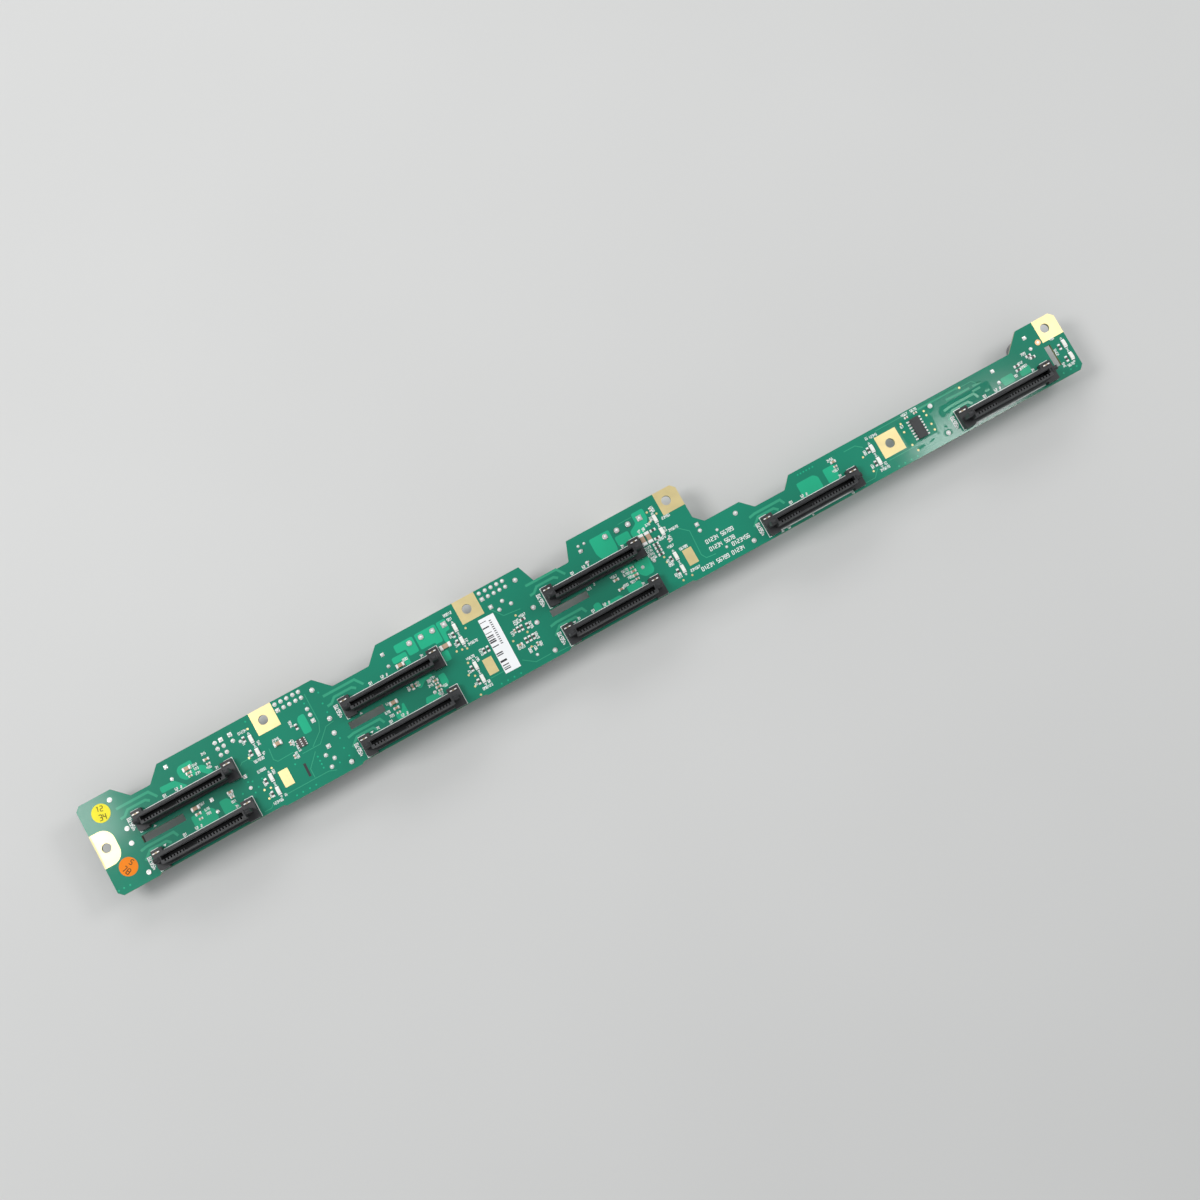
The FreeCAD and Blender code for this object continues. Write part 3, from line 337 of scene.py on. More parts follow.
def bent(path, cut):
    """A path with its inner corners rounded: each corner becomes three points, as in eased."""
    path = np.asarray(path, float)
    if len(path) < 3:
        return path
    soft = eased(path, cut).reshape(-1, 3, 2)
    return np.concatenate([path[:1], soft[1:-1].reshape(-1, 2), path[-1:]])


def counted(first, many):
    """Plain counting figures: first, first + 1 and so on, the last digit of each."""
    return "".join(str((first + step) % 10) for step in range(many))


def stroke(size, share):
    """Width of a figure's stroke in metres: a fixed part plus a share of the figure's height."""
    return (0.08 + size * share) * MM


def figures(heap, text, x, y, size, turn, width, low, high, way=1, bend=0.0):
    """Plain figures drawn with a pen: strokes on a 2 by 4 grid, scaled, turned and moved; way is
    -1 on the rear side, which is read from below, and bend rounds the corners."""
    cosine, sine = math.cos(math.radians(turn)), math.sin(math.radians(turn))
    for place, letter in enumerate(text):
        for line in STROKES.get(letter, ()):
            if bend:
                line = bent(line, bend)
            points = (np.array(line, float) + (place * 3.0, 0)) * size / 4 * (way, 1)
            turned = points @ np.array([[cosine, sine], [-sine, cosine]]) + (x, y)
            heap.add(*ribbon(spots(turned), width, low, high))


# ------------------------------------------------------------------ finishes
def nodes_of(name):
    finish = bpy.data.materials.new(name)
    finish.use_nodes = True
    tree = finish.node_tree
    return finish, tree, tree.nodes["Principled BSDF"]


def noise(tree, scale, detail=2.0, stretch=None):
    """Noise in the piece's own metres; stretch squeezes it along an axis."""
    place = tree.nodes.new("ShaderNodeTexCoord")
    texture = tree.nodes.new("ShaderNodeTexNoise")
    texture.inputs["Scale"].default_value = scale
    texture.inputs["Detail"].default_value = detail
    if stretch:
        mapping = tree.nodes.new("ShaderNodeMapping")
        mapping.inputs["Scale"].default_value = stretch
        tree.links.new(place.outputs["Object"], mapping.inputs["Vector"])
        tree.links.new(mapping.outputs["Vector"], texture.inputs["Vector"])
    else:
        tree.links.new(place.outputs["Object"], texture.inputs["Vector"])
    return texture.outputs["Fac"]


def spread(tree, source, low, high, start=0.3, end=0.7):
    """Map a 0 to 1 value on to a range."""
    ranged = tree.nodes.new("ShaderNodeMapRange")
    ranged.inputs["From Min"].default_value = start
    ranged.inputs["From Max"].default_value = end
    ranged.inputs["To Min"].default_value = low
    ranged.inputs["To Max"].default_value = high
    tree.links.new(source, ranged.inputs["Value"])
    return ranged.outputs["Result"]


def blend(tree, factor, first, second):
    """Mix two colours, each a socket or three numbers."""
    mix = tree.nodes.new("ShaderNodeMix")
    mix.data_type = "RGBA"
    tree.links.new(factor, mix.inputs["Factor"])
    for socket, value in ((mix.inputs[6], first), (mix.inputs[7], second)):
        if isinstance(value, bpy.types.NodeSocket):
            tree.links.new(value, socket)
        else:
            socket.default_value = (*value, 1.0)
    return mix.outputs[2]


def relief(tree, shader, source, strength, distance):
    bump = tree.nodes.new("ShaderNodeBump")
    bump.inputs["Strength"].default_value = strength
    bump.inputs["Distance"].default_value = distance * MM
    tree.links.new(source, bump.inputs["Height"])
    tree.links.new(bump.outputs["Normal"], shader.inputs["Normal"])


def shade(value, factor):
    return tuple(min(1.0, part * factor) for part in value)


def mottled(name, tint, roughness, metallic=0.0, coat=0.0, patch=60.0, grain=2500.0, bump=0.15,
            depth=0.02, swing=0.12, rough_swing=0.06, stretch=None, specular=0.5):
    """A finish whose colour drifts over patches and whose grain shows as a shallow relief."""
    finish, tree, shader = nodes_of(name)
    drift = spread(tree, noise(tree, patch), 0.0, 1.0)
    fine = noise(tree, grain, 3.0, stretch)
    tint_socket = blend(tree, drift, shade(tint, 1 - swing), shade(tint, 1 + swing))
    tree.links.new(tint_socket, shader.inputs["Base Color"])
    tree.links.new(spread(tree, fine, roughness - rough_swing, roughness + rough_swing),
                   shader.inputs["Roughness"])
    shader.inputs["Metallic"].default_value = metallic
    shader.inputs["Specular IOR Level"].default_value = specular
    shader.inputs["Coat Weight"].default_value = coat
    shader.inputs["Coat Roughness"].default_value = 0.12
    relief(tree, shader, fine, bump, depth)
    return finish


def weave(tree, pitch):
    """Two crossed sine waves a yarn pitch apart, as glass cloth shows through lacquer."""
    place = tree.nodes.new("ShaderNodeTexCoord")
    waves = []
    for direction in ("X", "Y"):
        wave = tree.nodes.new("ShaderNodeTexWave")
        wave.bands_direction = direction
        wave.inputs["Scale"].default_value = 0.314 / (pitch * MM)
        wave.inputs["Distortion"].default_value = 0.6
        tree.links.new(place.outputs["Object"], wave.inputs["Vector"])
        waves.append(wave.outputs["Fac"])
    total = tree.nodes.new("ShaderNodeMath")
    total.operation = "MAXIMUM"
    tree.links.new(waves[0], total.inputs[0])
    tree.links.new(waves[1], total.inputs[1])
    return total.outputs[0]


def lacquer(name, tint, coat=0.65, edge=False):
    """Solder mask: a glossy green coat over woven laminate; the routed edges stay bare."""
    finish, tree, shader = nodes_of(name)
    cloth = weave(tree, 0.5)
    drift = spread(tree, noise(tree, 28.0), 0.0, 1.0)
    colours = blend(tree, drift, shade(tint, 0.88), shade(tint, 1.12))
    colours = blend(tree, spread(tree, cloth, 0.0, 0.10, 0.0, 1.0), colours, shade(tint, 1.5))
    if edge:
        facing = tree.nodes.new("ShaderNodeNewGeometry")
        split = tree.nodes.new("ShaderNodeSeparateXYZ")
        tree.links.new(facing.outputs["True Normal"], split.inputs["Vector"])
        size = tree.nodes.new("ShaderNodeMath")
        size.operation = "ABSOLUTE"
        tree.links.new(split.outputs["Z"], size.inputs[0])
        layers = noise(tree, 900.0, 3.0, (1.0, 1.0, 6.0))
        bare = blend(tree, spread(tree, layers, 0.0, 1.0), (0.16, 0.20, 0.085), (0.36, 0.36, 0.17))
        colours = blend(tree, spread(tree, size.outputs[0], 0.0, 1.0, 0.4, 0.6), bare, colours)
    tree.links.new(colours, shader.inputs["Base Color"])
    tree.links.new(spread(tree, noise(tree, 700.0), 0.38, 0.5), shader.inputs["Roughness"])
    shader.inputs["Specular IOR Level"].default_value = 0.12
    shader.inputs["Coat Weight"].default_value = coat
    shader.inputs["Coat Roughness"].default_value = 0.09
    relief(tree, shader, cloth, 0.08, 0.008)
    return finish


FINISHES = {}


def make_finishes():
    """Every finish of the board, made once."""
    tints = bpy.context.scene.board_finishes
    FINISHES.update({
        "mask": lacquer("solder_mask", tints.mask, edge=True),
        "pour": lacquer("mask_over_copper", tints.pour),
        "trace": lacquer("mask_over_trace", tints.trace),
        "dull": lacquer("mask_over_laminate", tints.mask, coat=0.12),
        "silk": mottled("white_ink", tints.silk, 0.6, patch=900.0, grain=6000.0, bump=0.1,
                        swing=0.06),
        "gold": mottled("gold_flash", tints.gold, 0.36, metallic=1.0, patch=180.0, grain=1800.0,
                        bump=0.12, depth=0.01, swing=0.05, stretch=(1.0, 6.0, 1.0)),
        "edge_gold": mottled("edge_gold", shade(tints.gold, 0.62), 0.4, metallic=1.0, patch=180.0,
                             grain=1800.0, bump=0.12, depth=0.01),
        "contact": mottled("contact_gold", (0.86, 0.66, 0.30), 0.24, metallic=1.0, patch=800.0),
        # The socket contacts get a darkened copy of the contact gold: painted shade standing for the
        # shadow deep in the socket's cells.
        "shaded_contact": mottled("contact_painted_dark", (0.30, 0.24, 0.12), 0.35, metallic=1.0, patch=800.0),
        # Little metal over a near-white base: painted sheen in the colour, on top of the solder's own
        # pale tone.
        "solder": mottled("solder", tints.solder, 0.34, metallic=0.2, patch=500.0, grain=1500.0,
                          bump=0.25, depth=0.03, swing=0.08),
        "tab": mottled("tab_metal", (0.33, 0.27, 0.19), 0.36, metallic=1.0, patch=500.0,
                       grain=2200.0, bump=0.15, swing=0.08),
        "tin": mottled("tin_plate", (0.70, 0.69, 0.67), 0.34, metallic=1.0, patch=500.0,
                       grain=2200.0, bump=0.15, swing=0.08),
        "moulding": mottled("black_moulding", tints.moulding, 0.44, patch=250.0, grain=5200.0,
                            bump=0.35, depth=0.02, swing=0.25, specular=0.4),
        "chip": mottled("chip_moulding", (0.035, 0.036, 0.038), 0.5, patch=500.0, grain=4200.0,
                        bump=0.5, depth=0.02, swing=0.15),
        "pale": mottled("pale_moulding", (0.78, 0.77, 0.70), 0.45, patch=120.0, grain=3600.0,
                        bump=0.2, depth=0.02, swing=0.04),
        "resistor": mottled("resistor_glaze", (0.055, 0.045, 0.042), 0.3, patch=900.0,
                            grain=3000.0, coat=0.3, swing=0.2),
        "ceramic": mottled("tan_ceramic", (0.50, 0.34, 0.22), 0.4, patch=800.0, grain=5000.0,
                           swing=0.15),
        "fuse": mottled("fuse_body", (0.48, 0.33, 0.22), 0.4, patch=500.0, grain=4000.0, swing=0.2),
        "lens": mottled("milky_lens", (0.90, 0.90, 0.84), 0.18, patch=600.0, coat=0.4, swing=0.03),
        "yellow": mottled("yellow_paper", (0.92, 0.82, 0.05), 0.6, patch=160.0, grain=3000.0,
                          swing=0.05, specular=0.15),
        "orange": mottled("orange_paper", (0.92, 0.25, 0.015), 0.6, patch=160.0, grain=3000.0,
                          swing=0.05, specular=0.15),
        "brown_ink": mottled("brown_ink", (0.10, 0.055, 0.02), 0.6, patch=700.0, grain=4000.0,
                             specular=0.2),
        "paper": mottled("white_paper", (0.90, 0.91, 0.92), 0.4, patch=160.0, grain=3000.0,
                         swing=0.02),
        # Black ink, which is also used as painted shade in the capacitors' vent scores.
        "pen": mottled("black_ink_and_groove_shade", (0.015, 0.016, 0.02), 0.5, patch=500.0, grain=4000.0),
        "sleeve": mottled("black_sleeve", (0.02, 0.021, 0.03), 0.25, patch=200.0, grain=3000.0,
                          coat=0.4, bump=0.02, swing=0.05, rough_swing=0.03),
        "can": mottled("bare_can", (0.82, 0.82, 0.83), 0.3, metallic=1.0, patch=250.0,
                       grain=2600.0, bump=0.1),
        "copper": mottled("bare_copper", (0.80, 0.44, 0.24), 0.35, metallic=1.0, patch=400.0),
    })


def coat_node(node, finish):
    """Give a CAD node's own object a finish."""
    piece = frame["nodes"][node]
    piece.data.materials.clear()
    piece.data.materials.append(FINISHES[finish])


def solids(node):
    """Low and high corners of each separate solid in a node: triangles that share a place are
    joined by passing the smallest label round until nothing changes."""
    mesh = frame["nodes"][node].data
    places = np.empty(len(mesh.vertices) * 3)
    mesh.vertices.foreach_get("co", places)
    places = places.reshape(-1, 3)
    corners = np.empty(len(mesh.loops), int)
    mesh.loops.foreach_get("vertex_index", corners)
    starts = np.empty(len(mesh.polygons), int)
    mesh.polygons.foreach_get("loop_start", starts)
    owner = np.searchsorted(starts, np.arange(len(corners)), "right") - 1
    same = np.unique((places * 1e6).round().astype(int), axis=0, return_inverse=True)[1].ravel()
    label = np.arange(same.max() + 1)
    while True:
        face = np.full(len(starts), len(label))
        np.minimum.at(face, owner, label[same[corners]])
        smaller = label.copy()
        np.minimum.at(smaller, same[corners], face[owner])
        if (smaller == label).all():
            break
        label = smaller
    group = label[same]
    names = np.unique(group)
    low = np.array([places[group == name].min(0) for name in names])
    high = np.array([places[group == name].max(0) for name in names])
    return low, high


# ------------------------------------------------------------------ places on the board
ALL_ROWS = [(number, 0.0) for number in range(5)] + [(number, UPPER_ROW) for number in range(3)]
POURS = [
    [(31.7, 27.0), (37.0, 26.9), (38.5, 25.0), (41.8, 25.0), (37.9, 29.2), (31.7, 29.5)],
    [(42.2, 27.0), (46.9, 27.4), (46.9, 33.3), (41.6, 33.2), (40.3, 31.9), (40.3, 29.0)],
    [(47.5, 28.0), (50.5, 25.0), (52.9, 25.0), (51.0, 28.6), (49.6, 29.7), (47.5, 29.7)],
    [(37.0, 8.2), (46.5, 8.2), (46.5, 12.3), (44.9, 13.8), (37.0, 13.8)],
    [(49.0, 8.2), (56.0, 8.2), (53.4, 12.2), (52.3, 13.8), (49.0, 13.8)],
    [(89.4, 20.6), (92.8, 20.6), (92.8, 28.1), (90.4, 28.1), (89.4, 26.8)],
    [(134.9, 30.9), (138.8, 30.9), (138.8, 27.8), (143.1, 27.8), (143.1, 34.3), (134.9, 34.3)],
    [(143.9, 27.7), (149.9, 27.7), (149.9, 26.8), (153.0, 26.8), (153.0, 34.3), (143.9, 34.3)],
    [(153.4, 25.6), (155.0, 25.6), (155.4, 29.5), (157.4, 29.5), (157.4, 34.3), (153.4, 34.3)],
    [(150.0, 19.0), (152.6, 19.0), (152.8, 23.2), (150.0, 23.2)],
    [(132.0, 27.8), (135.9, 27.8), (135.9, 25.2), (138.2, 25.0), (138.2, 30.3), (132.0, 30.3)],
    [(136.0, 15.2), (137.4, 14.9), (139.3, 16.6), (142.9, 16.6), (142.9, 18.0), (136.0, 18.0)],
    [(144.6, 10.5), (146.0, 10.4), (147.4, 12.0), (147.4, 16.0), (144.6, 16.0)],
    [(135.6, 8.2), (142.4, 8.2), (142.4, 10.5), (136.6, 10.7)],
    [(123.4, 8.2), (128.3, 8.2), (128.3, 13.2), (127.4, 13.2), (126.6, 11.0), (123.4, 11.0)],
    [(209.7, 8.2), (213.0, 8.2), (212.9, 10.7), (212.0, 11.3), (210.2, 11.0)],
    [(213.2, 8.2), (222.6, 8.2), (221.2, 9.5), (214.0, 9.4)],
    [(221.0, 27.6), (222.2, 24.9), (229.2, 24.9), (229.7, 27.0), (229.7, 34.1), (221.0, 34.1)],
    [(230.3, 26.2), (236.2, 26.2), (236.2, 30.2), (230.3, 30.2)],
    [(236.8, 26.3), (241.5, 26.3), (244.0, 28.6), (245.5, 31.0), (245.5, 35.2), (240.3, 35.2),
     (240.3, 31.1), (236.8, 29.2)],
    [(227.6, 12.9), (231.6, 12.9), (231.6, 18.0), (227.6, 18.0)],
    [(231.9, 13.0), (233.8, 10.9), (237.2, 10.9), (238.2, 12.2), (238.2, 17.6), (231.9, 17.6)],
    [(225.0, 8.2), (231.2, 8.2), (231.2, 10.4), (230.3, 11.0), (225.0, 11.0)],
    [(303.0, 8.2), (312.2, 8.2), (312.2, 12.9), (310.6, 14.4), (303.0, 14.4)],
    [(314.8, 8.2), (319.9, 8.2), (319.9, 14.3), (314.8, 14.3)],
    [(395.5, 8.6), (400.5, 8.6), (400.5, 12.1), (395.0, 12.1)],
    [(403.4, 8.7), (408.2, 8.7), (408.2, 11.8), (403.4, 11.8)],
]
UPPER_RUNS = [
    [(13.8, 30.2), (27.3, 30.2), (29.7, 26.9)],
    [(13.6, 26.0), (15.5, 26.2), (17.5, 28.0), (25.0, 28.0), (26.5, 26.9)],
]
LOWER_RUNS = [
    [(14.8, 11.6), (17.5, 12.1), (28.8, 12.1), (29.8, 10.0)],
    [(14.8, 7.5), (18.0, 10.3), (25.0, 10.3), (26.5, 8.9)],
]
WIDE_RUNS = [
    [(360.0, 17.4), (377.4, 17.4), (378.6, 16.9)], [(372.0, 15.2), (377.5, 14.9), (382.6, 14.9)],
    [(384.0, 14.9), (388.0, 14.9)], [(383.0, 13.1), (386.6, 13.1)], [(387.4, 10.6), (389.4, 10.6)],
]
DULL_AREAS = [
    [(349.5, 5.6), (362.9, 5.6), (363.4, 8.0), (363.8, 12.0), (363.0, 14.2), (364.2, 16.6),
     (349.5, 16.6)],
    [(366.6, 11.4), (368.2, 14.0), (390.5, 14.2), (390.5, 8.4), (371.8, 8.4), (369.6, 10.4),
     (368.2, 9.4), (366.8, 9.8)],
    [(357.4, 3.7), (359.6, 4.4), (360.4, 3.9), (358.7, 3.2)],
    [(351.6, 2.6), (356.0, 3.1), (355.4, 4.0), (352.6, 4.3)],
    [(365.9, 5.5), (367.2, 5.2), (366.9, 6.7), (365.8, 6.5)],
    [(362.2, 4.9), (363.1, 4.8), (363.2, 5.5), (362.4, 5.6)],
    [(364.3, 2.3), (367.7, 2.2), (367.9, 4.0), (366.9, 4.8), (364.7, 4.7)],
    [(363.6, 13.2), (365.4, 13.9), (366.6, 15.4), (366.9, 17.0), (363.7, 17.0)],
]
THIN_RUNS = [
    [(73.0, 3.9), (91.0, 3.9), (94.0, 2.8)],
    [(85.3, 4.2), (85.3, 8.0), (90.0, 13.0)],
    [(85.3, 14.6), (93.0, 14.6), (98.0, 19.5), (101.5, 20.0)],
    [(90.0, 15.0), (95.0, 19.0), (96.5, 22.5), (96.5, 34.5)],
    [(75.0, 22.5), (74.6, 18.0), (75.8, 16.6), (82.5, 16.8)],
    [(62.4, 21.8), (63.6, 22.8), (66.2, 22.8), (68.0, 20.9)],
    [(62.5, 2.0), (65.5, 2.0), (67.0, 3.4)],
    [(326.0, 16.5), (331.0, 16.5), (333.5, 14.5)], [(327.0, 1.6), (331.8, 1.6), (334.4, 4.4)],
    [(341.0, 17.8), (378.0, 17.8), (379.1, 16.9), (384.6, 16.9), (386.0, 15.2), (388.3, 15.0)],
    [(240.0, 34.1), (234.0, 34.1)], [(162.0, 5.2), (167.6, 5.2)],
    [(174.5, 29.0), (178.0, 24.2), (185.0, 23.4)], [(176.0, 5.6), (180.4, 2.4), (187.0, 2.4)],
    [(188.4, 1.6), (194.4, 1.4)], [(253.8, 21.6), (257.4, 18.4), (256.8, 8.0), (258.0, 6.0),
                                  (262.0, 5.6)],
    [(340.0, 4.9), (353.0, 4.9)],
]
DOTS = [
    (71.4, 33.1), (66.8, 23.0), (72.5, 15.5), (66.3, 9.4), (68.8, 9.0), (66.4, 5.65),
    (155.5, 20.7), (157.7, 20.3), (159.6, 19.8), (157.2, 14.7), (155.2, 10.4), (157.2, 9.0),
    (155.3, 5.4), (155.7, 1.5), (162.8, 27.0), (182.1, 22.0), (176.5, 13.65), (183.0, 14.15),
    (181.7, 8.4), (246.3, 32.8), (245.6, 29.0), (249.4, 30.6), (243.65, 14.15),
    (243.65, 11.9), (245.8, 2.6), (249.8, 2.7), (331.6, 11.0), (332.5, 4.2), (351.3, 15.4),
    (350.9, 11.9), (351.2, 5.9), (352.2, 3.0), (362.0, 15.5), (362.1, 13.6), (362.1, 9.6),
    (362.1, 7.0), (379.1, 16.9),
]
SIGHTING = [(416.0, 17.7)]
PLUGGED_HOLES = [
    (0.85, 2.4), (3.0, 2.4), (5.5, 2.3), (76.15, 1.65), (78.8, 1.65), (81.7, 1.65),
    (84.4, 1.65), (164.7, 1.35), (167.5, 1.35), (170.3, 1.35), (173.2, 1.35), (342.3, 1.1),
    (345.1, 1.1), (348.0, 1.1), (350.8, 1.1), (418.7, 2.0), (422.0, 2.0), (424.7, 2.0),
    (305.5, 17.3), (306.8, 17.3), (308.1, 17.3), (309.4, 17.3), (310.8, 17.3), (312.2, 17.3),
    (62.2, 15.1), (63.0, 17.9), (63.8, 14.5), (58.4, 12.1), (62.9, 10.2), (64.9, 11.5),
    (89.9, 6.0), (89.9, 7.6), (89.9, 9.0), (89.9, 10.8), (101.0, 24.1), (101.0, 27.9),
    (101.5, 32.4), (100.6, 13.0), (100.2, 8.9), (100.6, 5.4), (94.8, 31.3), (96.2, 4.8),
    (71.9, 36.0), (67.5, 13.7), (81.0, 12.4),
]
LARGE_JOINTS = [
    (13.2, 34.5), (14.1, 21.7), (13.1, 16.0), (13.9, 3.15), (99.8, 34.4), (100.65, 21.5),
    (99.6, 15.8), (100.3, 2.9), (188.5, 34.2), (189.6, 21.4), (188.0, 15.65), (189.0, 2.8),
    (276.5, 15.85), (277.65, 2.9), (365.2, 16.1), (366.2, 3.25),
]
PIN_JOINTS = (
    [(x, y) for x in (84.7, 87.3, 89.8, 92.4, 94.8) for y in (36.4, 33.85)]
    + [(x, y) for x in (173.7, 176.3, 178.85, 181.4, 183.9) for y in (36.35, 33.8)]
    + [(94.8, 28.9), (94.8, 26.4), (94.8, 23.85)]
    + [(x, y) for x in (57.96, 60.5) for y in (34.4, 31.85, 29.2)]
    + [(64.4, 34.5), (64.4, 31.85), (95.35, 12.4), (92.85, 9.8), (95.3, 7.3), (92.85, 4.8)]
    + [(175.2, 29.5), (180.2, 29.5), (177.7, 27.0), (182.8, 27.0), (261.1, 19.2), (261.0, 16.6)]
)
SQUARE_PADS = [
    (84.7, 33.85), (173.7, 33.8), (94.8, 23.85), (60.5, 34.4), (64.4, 34.5), (95.35, 12.4),
    (175.2, 29.5), (261.1, 19.2),
]
POWER_JOINTS = [(x, 32.3) for x in (141.0, 146.0, 151.0, 156.1, 227.3, 232.5, 237.5, 242.6)]
POWER_SQUARES = [(156.1, 32.3), (242.6, 32.3)]
CAN_JOINTS = [
    (37.45, 35.3), (129.8, 33.4), (216.2, 31.85), (47.0, 15.8), (140.7, 15.8), (62.1, 17.5),
    (394.05, 16.3), (412.1, 21.8), (37.45, 30.1), (129.8, 28.3), (216.2, 26.7), (47.0, 10.8),
    (140.7, 10.9), (62.1, 12.6), (394.05, 11.1), (412.1, 16.8), (239.6, 14.8), (234.4, 14.7),
]
SMALL_JOINTS = [
    (267.0, 13.6), (267.0, 5.9), (216.3, 34.0), (218.85, 33.9), (182.2, 4.6), (66.8, 30.3),
]
SOCKET_MARKS = [
    # past the socket's left end, above its lower edge, height, turn, how many figures
    (13.3, 7.6, 1.0, 0, 2), (18.2, 7.6, 1.0, 0, 2), (20.7, 7.6, 0.9, 0, 1),
    (35.5, 7.6, 0.9, 0, 2), (-1.2, 2.2, 1.4, 90, 5),
]
MARKS = [
    # x, y, height, turn, how many figures
    (46.5, 30.3, 0.9, 0, 3), (46.4, 28.8, 0.9, 0, 3), (46.3, 27.0, 0.9, 0, 3),
    (51.3, 32.5, 0.9, 0, 3), (51.0, 26.9, 0.9, 0, 3), (42.2, 15.8, 0.9, 0, 3),
    (43.0, 13.1, 0.9, 0, 3), (42.8, 11.4, 0.9, 0, 3), (53.4, 13.6, 0.9, 0, 3),
    (53.2, 10.8, 0.9, 0, 3), (67.3, 32.6, 0.95, 0, 5), (68.0, 28.2, 0.9, 90, 3),
    (68.0, 23.2, 0.9, 90, 2), (73.1, 25.4, 0.9, 90, 3), (73.0, 21.4, 0.9, 90, 2),
    (67.8, 20.1, 0.95, 0, 6), (67.1, 16.1, 0.95, 0, 5),
    (73.0, 12.9, 0.9, 90, 3), (68.1, 10.6, 0.9, 90, 3), (68.1, 5.6, 0.9, 90, 3),
    (73.0, 3.5, 0.8, 90, 2), (66.8, 2.5, 0.95, 0, 6), (77.5, 23.8, 0.95, 0, 4),
    (87.0, 25.4, 0.95, 90, 4), (84.6, 18.9, 0.9, 90, 4), (83.9, 13.9, 0.9, 90, 4),
    (85.6, 16.0, 0.9, 90, 4),
    (114.5, 8.9, 0.9, 0, 2), (135.7, 27.2, 0.95, 0, 3), (133.0, 16.0, 0.9, 90, 3),
    (137.1, 16.0, 0.9, 90, 3), (121.8, 15.2, 0.9, 0, 2), (141.6, 15.8, 0.9, 0, 3),
    (139.5, 13.5, 0.95, 0, 3), (144.4, 10.9, 0.95, 0, 3), (141.7, 9.0, 0.9, 0, 3),
    (120.2, 12.3, 0.95, 0, 3), (121.0, 10.4, 0.95, 0, 3),
    (157.5, 34.7, 0.95, 0, 5), (158.0, 32.6, 0.95, 0, 3), (156.7, 26.3, 0.9, 90, 3),
    (157.0, 22.0, 0.9, 90, 3), (161.3, 22.2, 0.9, 90, 2), (160.6, 20.4, 0.95, 0, 6),
    (157.3, 15.6, 0.95, 0, 5), (161.6, 13.4, 0.9, 90, 3), (156.6, 10.8, 0.9, 90, 2),
    (156.6, 5.3, 0.9, 90, 2), (157.5, 2.5, 0.95, 0, 6), (161.4, 4.0, 0.9, 90, 2),
    (164.1, 14.6, 0.9, 90, 4), (178.2, 15.2, 0.95, 90, 3), (180.9, 18.6, 0.95, 90, 3),
    (182.1, 18.6, 0.95, 90, 3), (183.0, 20.4, 0.95, 0, 4), (186.1, 14.7, 0.95, 90, 4),
    (186.1, 10.0, 0.95, 90, 4), (186.0, 6.7, 0.95, 90, 3), (181.1, 6.4, 0.95, 90, 3),
    (183.3, 6.4, 0.95, 90, 3), (176.9, 9.5, 0.95, 0, 4),
    (210.9, 16.9, 0.95, 0, 3), (214.4, 17.5, 0.9, 0, 1), (202.4, 8.7, 0.9, 0, 2),
    (221.3, 16.4, 0.95, 0, 4), (226.3, 16.4, 0.95, 0, 4), (226.3, 14.9, 0.95, 0, 4),
    (227.1, 13.2, 0.95, 0, 3), (224.3, 11.2, 0.95, 0, 3), (227.4, 11.1, 0.95, 0, 3),
    (238.4, 19.9, 0.95, 0, 4), (238.4, 18.4, 0.95, 0, 4), (238.4, 17.0, 0.95, 0, 4),
    (238.6, 15.5, 0.95, 0, 4), (240.4, 27.0, 0.95, 90, 2), (242.3, 27.0, 0.95, 90, 2),
    (243.3, 28.0, 0.9, 0, 3), (244.5, 20.6, 0.95, 0, 4), (249.3, 31.8, 0.9, 90, 4),
    (246.9, 28.9, 0.9, 90, 3), (249.7, 22.8, 0.9, 90, 3), (249.9, 18.3, 0.9, 90, 4),
    (250.3, 27.4, 0.95, 0, 5), (250.2, 21.9, 0.95, 0, 6),
    (246.6, 16.2, 0.95, 0, 4), (250.4, 13.4, 0.95, 0, 5), (244.8, 10.8, 0.9, 90, 3),
    (246.3, 10.9, 0.9, 90, 2), (243.7, 9.7, 0.95, 0, 3), (244.8, 5.2, 0.9, 90, 2),
    (246.3, 5.2, 0.9, 90, 2), (244.2, 4.0, 0.95, 0, 3), (250.1, 3.9, 0.95, 0, 6),
    (318.2, 15.9, 0.95, 0, 4), (318.2, 11.2, 0.95, 0, 4), (291.6, 0.4, 0.9, 0, 2),
    (302.8, 0.4, 0.9, 0, 1), (320.4, 0.3, 0.9, 0, 2),
    (333.6, 11.2, 0.9, 90, 3), (333.5, 5.2, 0.9, 90, 3), (336.9, 16.4, 0.9, 90, 2),
    (337.6, 16.1, 0.95, 0, 5), (338.7, 4.1, 0.9, 90, 2), (335.0, 2.5, 0.95, 0, 6),
    (353.1, 17.5, 0.95, 0, 4), (357.2, 17.5, 0.95, 0, 4), (350.6, 13.7, 0.95, 0, 2),
    (407.3, 15.9, 1.0, 0, 3), (405.0, 11.5, 0.95, 0, 4), (400.8, 9.7, 0.95, 0, 2),
    (404.6, 13.4, 0.9, 0, 3), (409.2, 13.4, 0.9, 0, 2), (420.9, 9.4, 0.95, 90, 4),
    (421.0, 3.8, 0.95, 90, 3), (420.6, 15.9, 0.9, 0, 3), (421.8, 3.2, 0.95, 0, 4),
]
ROWS = [
    # x, y, height, even groups of counting figures
    (260.8, 10.6, 1.5, "01234 56789"), (260.8, 7.4, 1.5, "01234 5678"),
    (269.5, 5.0, 1.5, "0123456"), (254.2, 2.0, 1.5, "01234 56789 01234"),
]
PEN_STROKE = [(84.1, 11.0), (84.0, 5.6)]
LABEL_BARS = [
    # y and thickness
    (25.7, 0.25), (23.3, 0.5), (21.0, 0.25), (19.6, 0.5), (18.9, 0.3), (17.9, 0.5), (17.1, 0.6),
    (15.2, 0.4), (12.2, 0.5), (11.4, 0.4), (8.8, 0.8), (7.1, 0.4), (6.1, 0.3), (5.4, 0.4),
]
